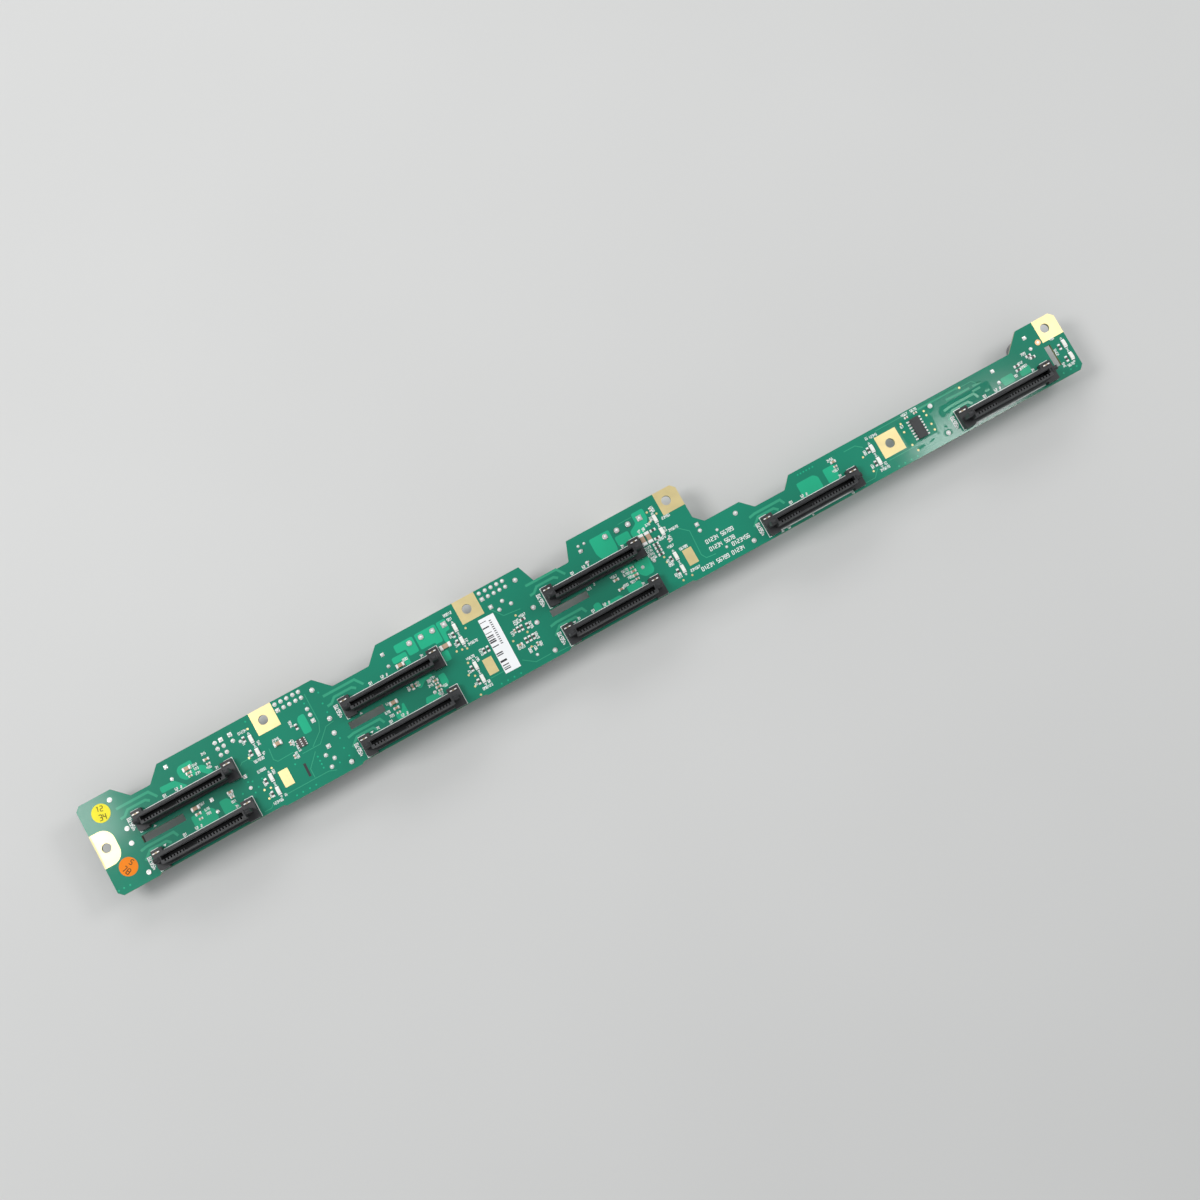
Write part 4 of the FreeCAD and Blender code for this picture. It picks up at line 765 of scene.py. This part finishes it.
DOT_FIGURES = [
    # dot, figures, shift across and up from its middle, height, turn, stroke
    ("inspection_dot_upper", "12", -0.2, 1.75, 2.0, -14, 0.28),
    ("inspection_dot_upper", "34", 0.3, -1.6, 2.2, -10, 0.3),
    ("inspection_dot_lower", "78", 0.2, -1.5, 2.2, -62, 0.32),
    ("inspection_dot_lower", "5", -0.2, 2.0, 2.0, -66, 0.32),
]
PIN_MARKS = [
    # middle of the triangle's base and the way it points
    (23.8, 17.2, 1), (112.1, 17.1, 1), (23.8, 9.6, -1), (112.4, 9.4, -1), (200.8, 9.0, -1),
    (378.1, 0.5, 1), (289.3, 0.4, 1),
]


def lifted(points, height):
    """Board millimetres to frame places on the board's face, a height in metres above it."""
    flat = spots(points)
    return np.column_stack([flat, np.full(len(flat), BOARD_HIGH[2] + height)])


def socket_end(number, row):
    """Board x and y, in millimetres, of a socket's lower left corner."""
    return column(number), SOCKET_FOOT + row


class Dress:
    """What the operators share: they finish or raise."""
    bl_options = {"REGISTER", "UNDO"}

    def execute(self, context):
        self.dress(context.scene.board_sizes)
        return {"FINISHED"}


class BACKPLANE_OT_coat(Dress, bpy.types.Operator):
    """Makes the finishes and gives each frame node its own"""
    bl_idname = "backplane.coat"
    bl_label = "Coat the frame"

    def dress(self, sizes):
        make_finishes()
        for node in frame["nodes"]:
            if node.startswith(("drive_socket_housing", "signal_header_", "sensor_header")):
                coat_node(node, "tin" if node == "signal_header_pegs" else "moulding")
            elif node.startswith("drive_socket_contacts"):
                # the socket contacts take the gold painted dark, as painted shade for the cells they
                # sit in
                coat_node(node, "shaded_contact")
            elif node.startswith("drive_socket_hold_downs"):
                coat_node(node, "tab")
            elif node.startswith("power_header"):
                coat_node(node, "tin" if node == "power_header_pins" else "pale")
        for node, finish in (
                ("circuit_board", "mask"), ("ground_pads", "gold"), ("pin_strips", "moulding"),
                ("header_pins", "contact"), ("capacitor_leads", "tin"), ("logic_chip_case", "chip"),
                ("logic_chip_leads", "tin"), ("inspection_dot_lower", "orange"),
                ("inspection_dot_upper", "yellow"), ("serial_label", "paper"),
                ("bulk_capacitors", "sleeve"), ("ceramic_capacitors", "ceramic"),
                ("chip_resistors", "resistor"), ("chip_fuses", "fuse"),
                ("resistor_networks", "resistor"), ("status_lights", "lens")):
            coat_node(node, finish)


class BACKPLANE_OT_copper(Dress, bpy.types.Operator):
    """Lays the raised copper areas and traces under the lacquer"""
    bl_idname = "backplane.copper"
    bl_label = "Copper areas and traces"

    def dress(self, sizes):
        top = BOARD_HIGH[2]
        pours = Heap()
        for area in POURS:
            outline = eased(spots(area), 0.7 * MM)
            pours.add(*prisms(outline[None], top, top + sizes.pour_height))
        pours.piece("copper_areas", FINISHES["pour"], "solder_mask_board")
        runs = Heap()
        for number, row in ALL_ROWS:
            for path in (UPPER_RUNS if row else LOWER_RUNS):
                moved = np.array(path) + (number * COLUMN_PITCH, 0)
                runs.add(*ribbon(spots(moved), 1.0 * MM, top, top + sizes.trace_height))
        for path in WIDE_RUNS:
            runs.add(*ribbon(spots(path), 0.85 * MM, top, top + sizes.trace_height))
        for path in THIN_RUNS:
            runs.add(*ribbon(spots(path), 0.26 * MM, top, top + sizes.trace_height))
        runs.piece("board_traces", FINISHES["trace"], "solder_mask_board")
        dull = Heap()
        for area in DULL_AREAS:
            dull.add(*prisms(eased(spots(area), 0.5 * MM)[None], top, top + 0.012 * MM))
        dull.piece("bare_laminate_areas", FINISHES["dull"], "solder_mask_board")


class BACKPLANE_OT_dots(Dress, bpy.types.Operator):
    """Plates the gold test dots and the plugged holes"""
    bl_idname = "backplane.dots"
    bl_label = "Test dots"

    def dress(self, sizes):
        thin = sizes.trace_height
        gold = Heap()
        profile = [(sizes.dot_radius, 0), (sizes.dot_radius, thin * 1.4)]
        gold.add(*lathed(lifted(DOTS, 0), profile, sizes.around))
        gold.piece("test_dots", FINISHES["gold"], "gold_plating")
        holes = Heap()
        profile = [(0.36 * MM, 0), (0.32 * MM, thin), (0.12 * MM, thin * 1.1)]
        holes.add(*lathed(lifted(PLUGGED_HOLES, 0), profile, 10))
        holes.piece("plugged_holes", FINISHES["pour"], "solder_mask_board")
        ring = Heap()
        ring.add(*lathed(lifted(SIGHTING, 0), [(1.15 * MM, 0), (1.15 * MM, thin * 1.4)], 24))
        ring.piece("sighting_ring", FINISHES["copper"], "gold_plating")
        centre = Heap()
        centre.add(*lathed(lifted(SIGHTING, thin * 1.4), [(0.5 * MM, 0), (0.5 * MM, thin)], 20))
        centre.piece("sighting_dot", FINISHES["tin"], "tinned_metal")


class BACKPLANE_OT_printing(Dress, bpy.types.Operator):
    """Prints the outlines, pin marks and plain figures in white"""
    bl_idname = "backplane.printing"
    bl_label = "White printing"

    def dress(self, sizes):
        low = BOARD_HIGH[2]
        high = low + sizes.pour_height + sizes.ink_height
        width = sizes.ink_width
        ink = Heap()
        for number, row in ALL_ROWS:
            left, base = socket_end(number, row)
            floor, roof = base + 0.1, base + 8.75
            outlines = [
                [(left + 3.6, base + 7.1), (left + 38.6, base + 7.1)],
                [(left + 2.8, roof), (left - 0.2, roof), (left - 0.2, floor), (left + 3.4, floor)],
                [(left + 39.4, roof), (left + 42.85, roof), (left + 42.85, floor),
                 (left + 38.8, floor)],
            ]
            if number > 2:
                front = [(left + 5.0, base + 0.45), (left + 37.6, base + 0.45)]
                ink.add(*ribbon(spots(front), 2.0 * width, low, high))
            for outline in outlines:
                ink.add(*ribbon(spots(outline), width, low, high))
            for place, (shift, rise, size, turn, many) in enumerate(SOCKET_MARKS):
                figures(ink, counted(place, many), left + shift, base + rise, size, turn,
                        stroke(size, 0.2), low, high)
        for place, (x, y, size, turn, many) in enumerate(MARKS):
            figures(ink, counted(place, many), x, y, size, turn, stroke(size, 0.13), low, high)
        for x, y, size, text in ROWS:
            figures(ink, text, x, y, size, 0, stroke(size, 0.13), low, high, bend=0.5)
        starts, ends = solids("status_lights")
        for start, end in zip(starts, ends):
            x = (start[0] + end[0]) / 2
            for y, way in ((start[1], -1), (end[1], 1)):
                for rise, half in ((0.5, 0.5), (0.95, 0.3)):
                    level = y + way * rise * MM
                    line = [(x - half * MM, level), (x + half * MM, level)]
                    ink.add(*ribbon(line, 0.26 * MM, low, high))
        for x, y, way in PIN_MARKS:
            corners = [(x - 0.7, y), (x + 0.7, y), (x, y + 0.9 * way)][::way]
            ink.add(*prisms(spots(corners)[None], low, high))
        ink.piece("white_printing", FINISHES["silk"], "label_white")


class BACKPLANE_OT_joints(Dress, bpy.types.Operator):
    """Raises the solder joints and their pads"""
    bl_idname = "backplane.joints"
    bl_label = "Solder joints"

    def dress(self, sizes):
        pads, joints = Heap(), Heap()
        thin = sizes.trace_height * 1.3
        dome = np.array([(1.0, 0.0), (0.93, 0.22), (0.74, 0.5), (0.5, 0.74), (0.3, 0.92), (0.1, 1.0)])
        for places, radius, height, squares in (
                (LARGE_JOINTS, sizes.joint_radius, sizes.joint_height, []),
                (PIN_JOINTS, sizes.small_joint_radius, sizes.small_joint_height, SQUARE_PADS),
                (POWER_JOINTS, 1.1 * MM, 0.8 * MM, POWER_SQUARES),
                (CAN_JOINTS, 0.72 * MM, 0.5 * MM, CAN_JOINTS[:8]),
                (SMALL_JOINTS, 0.6 * MM, 0.4 * MM, [])):
            joints.add(*lathed(lifted(places, thin), dome * (radius * 0.86, height), sizes.around))
            pads.add(*lathed(lifted(places, 0), [(radius, 0), (radius, thin)], sizes.around))
            if squares:
                middle = spots(squares)
                outline = rounded_boxes(middle - radius, middle + radius, 0.05 * MM, 2)
                pads.add(*prisms(outline, BOARD_HIGH[2], BOARD_HIGH[2] + thin * 1.05))
        pads.piece("joint_pads", FINISHES["tin"], "tinned_metal")
        joints.piece("solder_joints", FINISHES["solder"], "tinned_metal", smooth=True)


class BACKPLANE_OT_chips(Dress, bpy.types.Operator):
    """Makes the chip parts with bodies, plated ends and pads"""
    bl_idname = "backplane.chips"
    bl_label = "Chip parts"

    def dress(self, sizes):
        ends, pads = Heap(), Heap()
        for node, finish, slot, share in (
                ("ceramic_capacitors", "ceramic", "ceramic_tan", 0.24),
                ("chip_resistors", "resistor", "resistor_body", 0.27),
                ("chip_fuses", "fuse", "fuse_body", 0.25)):
            low, high = solids(node)
            bodies = Heap()
            size = high - low
            rows = np.arange(len(low))
            long = np.argmax(size[:, :2], axis=1)
            inner_low, inner_high = low.copy(), high.copy()
            inner_low[rows, long] += size[rows, long] * share * 0.9
            inner_high[rows, long] -= size[rows, long] * share * 0.9
            inner_low += np.where(np.arange(3) == 2, 0.02, 0.03) * MM
            inner_high -= 0.03 * MM
            bodies.add(*cut_blocks(inner_low, inner_high, 0.05 * MM))
            for side in (0, 1):
                cap_low, cap_high = low.copy(), high.copy()
                if side:
                    cap_low[rows, long] = high[rows, long] - size[rows, long] * share
                else:
                    cap_high[rows, long] = low[rows, long] + size[rows, long] * share
                ends.add(*cut_blocks(cap_low, cap_high, 0.09 * MM))
                grow = 0.14 * MM
                pad_low, pad_high = cap_low[:, :2] - grow, cap_high[:, :2] + grow
                outline = rounded_boxes(pad_low, pad_high, 0.12 * MM, 3)
                pads.add(*prisms(outline, BOARD_HIGH[2], BOARD_HIGH[2] + 0.05 * MM))
            bodies.piece(node + "_bodies", FINISHES[finish], slot, replaces=(node,))
        low, high = solids("resistor_networks")
        body, nets = Heap(), Heap()
        body.add(*cut_blocks(low + 0.02 * MM, high, 0.06 * MM))
        for start, end in zip(low, high):
            size = end - start
            steps = np.linspace(start[1] + size[1] * 0.12, end[1] - size[1] * 0.12, 4)
            for x in (start[0], end[0]):
                tooth_low = np.column_stack([np.full(4, x - 0.22 * MM), steps - 0.25 * MM,
                                             np.full(4, start[2])])
                tooth_high = np.column_stack([np.full(4, x + 0.22 * MM), steps + 0.25 * MM,
                                              np.full(4, end[2] + 0.02 * MM)])
                nets.add(*cut_blocks(tooth_low, tooth_high, 0.05 * MM))
        body.piece("resistor_network_bodies", FINISHES["resistor"], "resistor_body",
                   replaces=("resistor_networks",))
        nets.piece("resistor_network_ends", FINISHES["solder"], "tinned_metal")
        ends.piece("chip_ends", FINISHES["solder"], "tinned_metal")
        pads.piece("chip_pads", FINISHES["solder"], "tinned_metal")


class BACKPLANE_OT_lights(Dress, bpy.types.Operator):
    """Makes the side-shining status lights"""
    bl_idname = "backplane.lights"
    bl_label = "Status lights"

    def dress(self, sizes):
        low, high = solids("status_lights")
        lenses, ends = Heap(), Heap()
        inset = np.array([0.0, 0.55, 0.0]) * MM
        lenses.add(*cut_blocks(low + inset, high - inset, 0.12 * MM))
        for side in (0, 1):
            end_low, end_high = low.copy(), high.copy()
            if side:
                end_low[:, 1] = high[:, 1] - 0.6 * MM
            else:
                end_high[:, 1] = low[:, 1] + 0.6 * MM
            end_high[:, 2] = low[:, 2] + (high[:, 2] - low[:, 2]) * 0.55
            ends.add(*cut_blocks(end_low, end_high, 0.08 * MM))
        lenses.piece("light_lenses", FINISHES["lens"], "light_body", replaces=("status_lights",))
        ends.piece("light_ends", FINISHES["solder"], "tinned_metal")


class BACKPLANE_OT_logic_chip(Dress, bpy.types.Operator):
    """Adds the pads under the logic chip's leads and its first-pin dimple"""
    bl_idname = "backplane.logic_chip"
    bl_label = "Logic chip"

    def dress(self, sizes):
        low, high = solids("logic_chip_leads")
        pads = Heap()
        outline = rounded_boxes(low[:, :2] - 0.12 * MM, high[:, :2] + 0.12 * MM, 0.1 * MM, 3)
        pads.add(*prisms(outline, BOARD_HIGH[2], BOARD_HIGH[2] + 0.06 * MM))
        pads.piece("logic_chip_pads", FINISHES["solder"], "tinned_metal")
        case_low, case_high = (np.array(corner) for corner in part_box("logic_chip_case"))
        dimple = Heap()
        spot = [[case_low[0] + 0.7 * MM, case_high[1] - 0.9 * MM, case_high[2] - 0.01 * MM]]
        dimple.add(*lathed(spot, [(0.36 * MM, 0), (0.36 * MM, 0.012 * MM)], 18))
        dimple.piece("logic_chip_dimple", FINISHES["moulding"], "chip_moulding")


class BACKPLANE_OT_labels(Dress, bpy.types.Operator):
    """Writes on the inspection dots and prints the bars of the label"""
    bl_idname = "backplane.labels"
    bl_label = "Labels"

    def dress(self, sizes):
        ink = Heap()
        top = max(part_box(node)[1][2] for node in ("inspection_dot_lower", "serial_label"))
        high = top + 0.02 * MM
        writing = Heap()
        base = top - 0.02 * MM
        for node, text, across, up, size, turn, width in DOT_FIGURES:
            near, far = (np.array(corner)[:2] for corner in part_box(node))
            way = np.array([math.cos(math.radians(turn)), math.sin(math.radians(turn))])
            side = np.array([-way[1], way[0]])
            long = (len(text) * 3 - 1) * size / 4       # two units a figure, one between
            start = ((near + far) / 2 - BOARD_LOW[:2]) / MM
            x, y = start + way * (across - long / 2) + side * (up - size / 2)
            figures(writing, text, x, y, size, turn, width * MM, base, high, bend=0.75)
        writing.piece("dot_writing", FINISHES["brown_ink"], "black_moulding")
        for y, thick in LABEL_BARS:
            ink.add(*ribbon(spots([(168.3, y), (171.0, y)]), thick * MM, base, high))
        for y in np.arange(15.2, 25.6, 0.9):
            ink.add(*ribbon(spots([(171.9, y), (172.9, y)]), 0.35 * MM, base, high))
        ink.piece("label_ink", FINISHES["pen"], "black_moulding")
        marker = Heap()
        face = BOARD_HIGH[2]
        marker.add(*ribbon(spots(PEN_STROKE), 1.0 * MM, face, face + 0.02 * MM))
        marker.piece("marker_stroke", FINISHES["pen"], "black_moulding")


class BACKPLANE_OT_sockets(Dress, bpy.types.Operator):
    """Adds the sockets' fine tails and the hold-downs' solder"""
    bl_idname = "backplane.sockets"
    bl_label = "Socket tails"

    def dress(self, sizes):
        tails, fillets = Heap(), Heap()
        face = BOARD_HIGH[2]
        for number, row in ALL_ROWS:
            left, base = socket_end(number, row)
            x = left + 13.6 + np.arange(7) * 0.8
            same = np.ones(len(x))
            low = np.column_stack([spots(np.column_stack([x - 0.15, same * (base + 6.0)])),
                                   same * face])
            high = np.column_stack([spots(np.column_stack([x + 0.15, same * (base + 7.2)])),
                                    same * (face + 0.22 * MM)])
            tails.add(*cut_blocks(low, high, 0.05 * MM))
        for number in DRIVES:
            low, high = solids(f"drive_socket_hold_downs_{number}")
            middle = (low + high) / 2
            for shift in (-0.95, 0.95):
                spot = middle + (shift * MM, 0.0, 0.0)
                spot[:, 2] = high[:, 2]
                fillets.add(*cut_blocks(spot - np.array([0.45, 0.23, 0.05]) * MM,
                                        spot + np.array([0.45, 0.23, 0.12]) * MM, 0.06 * MM))
        tails.piece("socket_tails", FINISHES["solder"], "tinned_metal")
        fillets.piece("hold_down_solder", FINISHES["solder"], "tinned_metal")


class BACKPLANE_OT_cans(Dress, bpy.types.Operator):
    """Makes the capacitors with shrunk sleeves, printed stripes and bare scored ends"""
    bl_idname = "backplane.cans"
    bl_label = "Bulk capacitors"

    def dress(self, sizes):
        low, high = solids("bulk_capacitors")
        middle = (low[:, :2] + high[:, :2]) / 2
        radius = (high[0, 0] - low[0, 0]) / 2
        tall = high[0, 2] - low[0, 2]
        feet = np.column_stack([middle, low[:, 2]])
        sleeve = np.array([
            (0.86, 0.012), (0.92, 0.0), (0.97, 0.012), (1.0, 0.045), (1.0, 0.77), (0.975, 0.79),
            (0.94, 0.81), (0.94, 0.835), (0.975, 0.855), (1.0, 0.875), (1.0, 0.95), (0.97, 0.985),
            (0.9, 1.0)])
        sleeves, ends, scores, stripes = Heap(), Heap(), Heap(), Heap()
        sleeves.add(*lathed(feet, sleeve * (radius, tall), 40))
        ends.add(*lathed(feet, np.array([(0.868, 0.006), (0.868, 0.03)]) * (radius, tall), 40))
        reach = radius * 0.72
        # The vent scores are drawn in black: painted shade standing for the shadow in the scored
        # grooves.
        for x, y in middle:
            for angle in (90, 210, 330):
                way = np.array([math.cos(math.radians(angle)), math.sin(math.radians(angle))])
                path = np.array([(x, y), (x, y)]) + [way * 0.1 * MM, way * reach]
                bottom = low[0, 2]
                scores.add(*ribbon(path, 0.16 * MM, bottom + 0.03 * MM, bottom + 0.09 * MM))
        angle = np.radians(np.linspace(-17, 17, 9))
        outer = np.stack([np.cos(angle), np.sin(angle)], -1)
        outline = np.concatenate([outer * radius * 1.003, outer[::-1] * radius * 0.97])
        for x, y in middle:
            stripes.add(*prisms((outline + (x, y))[None], low[0, 2] + 0.055 * tall,
                                low[0, 2] + 0.76 * tall))
        sleeves.piece("capacitor_sleeves", FINISHES["sleeve"], "can_sleeve",
                      replaces=("bulk_capacitors",), smooth=True)
        ends.piece("capacitor_ends", FINISHES["can"], "tinned_metal")
        # the black ink on the scores is painted shade for the grooves
        scores.piece("capacitor_scores", FINISHES["pen"], "can_sleeve")
        stripes.piece("capacitor_stripes", FINISHES["paper"], "label_white")


class BACKPLANE_OT_headers(Dress, bpy.types.Operator):
    """Adds the data headers' contact strips and the printing of the rear side"""
    bl_idname = "backplane.headers"
    bl_label = "Rear headers"

    def dress(self, sizes):
        strips, ink = Heap(), Heap()
        for node in SIGNAL_HEADERS:
            low, high = (np.array(corner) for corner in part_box(node))
            middle = (low + high) / 2
            steps = np.arange(SIGNAL_CONTACTS) - SIGNAL_CONTACTS // 2
            y = middle[1] + steps * SIGNAL_PITCH * MM
            count = np.ones(SIGNAL_CONTACTS)
            face = middle[0] + 0.65 * MM
            strip_low = np.column_stack([count * (face - 0.05 * MM), y - 0.32 * MM,
                                         count * (low[2] + 0.9 * MM)])
            strip_high = np.column_stack([count * (face + 0.08 * MM), y + 0.32 * MM,
                                          count * (low[2] + 6.4 * MM)])
            strips.add(*cut_blocks(strip_low, strip_high, 0.04 * MM))
        strips.piece("signal_contacts", FINISHES["contact"], "gold_plating")
        top = BOARD_LOW[2]
        under = top - sizes.ink_height
        wide = sizes.ink_width
        number = 0
        for node in SIGNAL_HEADERS + ["power_header_1", "power_header_2", "sensor_header_1",
                                      "sensor_header_2"]:
            low, high = (np.array(corner)[:2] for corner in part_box(node))
            low, high = low - 0.45 * MM, high + 0.45 * MM
            low = np.maximum(low, BOARD_LOW[:2] + RIM)
            loop = [(low[0], low[1] + 1e-5), (low[0], high[1]), (high[0], high[1]),
                    (high[0], low[1]), low]
            ink.add(*ribbon(loop, wide, under, top))
            number += 1
            x, y = (np.array([low[0] - 0.5 * MM, (low[1] + high[1]) / 2]) - BOARD_LOW[:2]) / MM
            if 8 < x < 410:
                figures(ink, f"{10 + number}", x, y, 1.3, 0, 0.2 * MM, under, top, way=-1)
        low, high = solids("bulk_capacitors")
        turn = np.radians(np.linspace(0, 350, 36))
        circle = np.stack([np.cos(turn), np.sin(turn)], -1) * 5.35 * MM
        for start, end in zip(low, high):
            middle = (start[:2] + end[:2]) / 2
            ring = middle + circle
            inside = np.abs(ring[:, 1]) < BOARD_HIGH[1] - RIM
            runs = np.split(np.arange(36), np.flatnonzero(np.diff(inside.astype(int))) + 1)
            for run in runs:
                if inside[run[0]] and len(run) > 1:
                    ink.add(*ribbon(ring[run], wide, under, top))
        ink.piece("rear_printing", FINISHES["silk"], "label_white")
        edge = Heap()
        strip = rounded_boxes(spots([(0.0, 12.3)]), spots([(0.6, 25.5)]), 0.05 * MM, 2)
        edge.add(*prisms(strip, BOARD_HIGH[2], BOARD_HIGH[2] + 0.06 * MM))
        edge.piece("edge_strip", FINISHES["edge_gold"], "gold_plating")


class BACKPLANE_OT_rear(Dress, bpy.types.Operator):
    """Adds the rear side's screw rings, traces and solder joints"""
    bl_idname = "backplane.rear"
    bl_label = "Rear side"

    def dress(self, sizes):
        face = BOARD_LOW[2]
        centres = []
        for mount in frame["record"]["mounts"]:
            x, y = mount["pos_m"][:2]
            reach = mount["dims"].get("spacing_x_mm", 0.0) * MM / 2
            centres += [(x, y)] if not reach else [(x - reach, y), (x + reach, y)]
        washers = Heap()
        washers.add(*flat_rings(centres, 1.95 * MM, 3.3 * MM, face - sizes.trace_height, face, 36))
        washers.piece("rear_screw_rings", FINISHES["gold"], "gold_plating")
        joints = Heap()
        dome = np.array([(0.1, -1.0), (0.3, -0.92), (0.5, -0.74), (0.74, -0.5), (0.93, -0.22),
                         (1.0, 0.0)]) * (0.8 * MM, 0.5 * MM)
        for number in DRIVES:
            low, high = solids(f"drive_socket_hold_downs_{number}")
            places = (low + high) / 2
            places[:, 2] = face
            joints.add(*lathed(places, dome, sizes.around))
        joints.piece("rear_joints", FINISHES["solder"], "tinned_metal", smooth=True)
        runs, vias = Heap(), Heap()
        for node in SIGNAL_HEADERS:
            low, high = (np.array(corner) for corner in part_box(node))
            base = 5.6 if (low[1] - BOARD_LOW[1]) / MM < 9 else 21.4
            x = (high[0] - BOARD_LOW[0]) / MM + 0.9
            for pair, shift in ((-2, 1.6), (-1, 1.0), (1, 1.0), (2, 1.6)):
                y = base + 0.75 * pair
                path = [(x, y), (x + 19 + pair, y), (x + 19 + pair + shift, y + shift / 2),
                        (x + 26.0, y + shift / 2)]
                runs.add(*ribbon(spots(path), 0.26 * MM, face - sizes.trace_height, face))
                for end in (path[0], path[-1]):
                    spot = np.append(spots([end])[0], face)
                    vias.add(*lathed([spot], [(0.2 * MM, -sizes.trace_height * 1.3),
                                              (0.36 * MM, -sizes.trace_height), (0.38 * MM, 0.0)], 10))
        runs.piece("rear_traces", FINISHES["trace"], "solder_mask_board")
        vias.piece("rear_vias", FINISHES["pour"], "solder_mask_board")


LAMPS = (
    # name, place, the place it points at, width and depth (all metres), power (watts)
    ("lamp_left", (-0.62, 0.325, 1.0), (-0.05, 0.325, 0.0), (0.40, 0.44), 5.7),
    ("lamp_right", (0.472, 0.064, 1.0), (0.3, 0.064, 0.0), (0.05, 0.11), 0.27),
    ("lamp_far_right", (0.90, 0.10, 0.95), (0.1, 0.10, 0.0), (0.40, 0.32), 3.0),
    ("lamp_back", (0.05, 1.05, 0.95), (0.05, 0.0, 0.0), (0.9, 0.4), 3.2),
)
FLOOR_REACH = 2.0                                            # metres
CAMERA_PLACE = (-0.05687121, -0.07904108, 0.70318049)        # metres
CAMERA_TURN = (7.44973172, -1.2474403, -29.04152887)         # degrees
CAMERA_LENS, CAMERA_SENSOR = 53.79, 36.0                     # millimetres


class BACKPLANE_OT_stage(bpy.types.Operator):
    """Lays the pale floor, hangs the lamps and sets the camera"""
    bl_idname = "backplane.stage"
    bl_label = "Stage"

    def execute(self, context):
        scene = context.scene
        scene.view_settings.view_transform = "Standard"
        floor = Heap()
        sheet = np.array([[(-1, -1), (1, -1), (1, 1), (-1, 1)]]) * FLOOR_REACH
        floor.add(*prisms(sheet, CAD_BOX[0][2] - 0.012, CAD_BOX[0][2] - 0.0004))
        mesh = bpy.data.meshes.new("floor")
        mesh.from_pydata(np.concatenate(floor.points).tolist(), [], floor.faces)
        ground = bpy.data.objects.new("floor", mesh)
        scene.collection.objects.link(ground)
        mesh.materials.append(mottled("pale_floor", (0.64, 0.64, 0.63), 0.75, patch=6.0,
                                      grain=900.0, bump=0.05, swing=0.015, specular=0.2))
        world = bpy.data.worlds.new("soft_room")
        scene.world = world
        world.use_nodes = True
        world.node_tree.nodes["Background"].inputs["Color"].default_value = (0.96, 0.98, 1.0, 1.0)
        world.node_tree.nodes["Background"].inputs["Strength"].default_value = 0.5
        for name, place, aim, size, power in LAMPS:
            lamp = bpy.data.lights.new(name, "AREA")
            lamp.shape = "RECTANGLE"
            lamp.size, lamp.size_y = size
            lamp.energy = power
            holder = bpy.data.objects.new(name, lamp)
            scene.collection.objects.link(holder)
            holder.location = place
            way = np.array(aim) - np.array(place)
            holder.rotation_euler = (math.atan2(math.hypot(way[0], way[1]), -way[2]), 0.0,
                                     math.atan2(way[1], way[0]) - math.pi / 2)
        lens = bpy.data.cameras.new("camera")
        lens.lens = CAMERA_LENS
        lens.sensor_width = CAMERA_SENSOR
        lens.clip_start = 0.01
        camera = bpy.data.objects.new("camera", lens)
        scene.collection.objects.link(camera)
        camera.location = CAMERA_PLACE
        camera.rotation_euler = tuple(math.radians(angle) for angle in CAMERA_TURN)
        scene.camera = camera
        return {"FINISHED"}


STEPS = (
    BACKPLANE_OT_coat, BACKPLANE_OT_copper, BACKPLANE_OT_dots, BACKPLANE_OT_printing,
    BACKPLANE_OT_joints, BACKPLANE_OT_chips, BACKPLANE_OT_lights, BACKPLANE_OT_logic_chip,
    BACKPLANE_OT_labels, BACKPLANE_OT_sockets, BACKPLANE_OT_cans, BACKPLANE_OT_headers,
    BACKPLANE_OT_rear, BACKPLANE_OT_stage,
)


class BACKPLANE_PT_panel(bpy.types.Panel):
    """Lists the steps in order"""
    bl_idname = "BACKPLANE_PT_panel"
    bl_label = "Drive backplane board"
    bl_space_type = "VIEW_3D"
    bl_region_type = "UI"
    bl_category = "Backplane"

    def draw(self, context):
        for step in STEPS:
            self.layout.operator(step.bl_idname)
        for group in (context.scene.board_finishes, context.scene.board_sizes):
            for name in group.__annotations__:
                self.layout.prop(group, name)


CLASSES = (BoardFinishes, BoardSizes, *STEPS, BACKPLANE_PT_panel)


def register():
    for item in CLASSES:
        bpy.utils.register_class(item)
    bpy.types.Scene.board_finishes = PointerProperty(type=BoardFinishes)
    bpy.types.Scene.board_sizes = PointerProperty(type=BoardSizes)


def unregister():
    del bpy.types.Scene.board_sizes
    del bpy.types.Scene.board_finishes
    for item in reversed(CLASSES):
        bpy.utils.unregister_class(item)


def main():
    """Register and run the steps in order."""
    register()
    for step in STEPS:
        group, name = step.bl_idname.split(".")
        getattr(getattr(bpy.ops, group), name)()


if __name__ == "__main__":
    main()
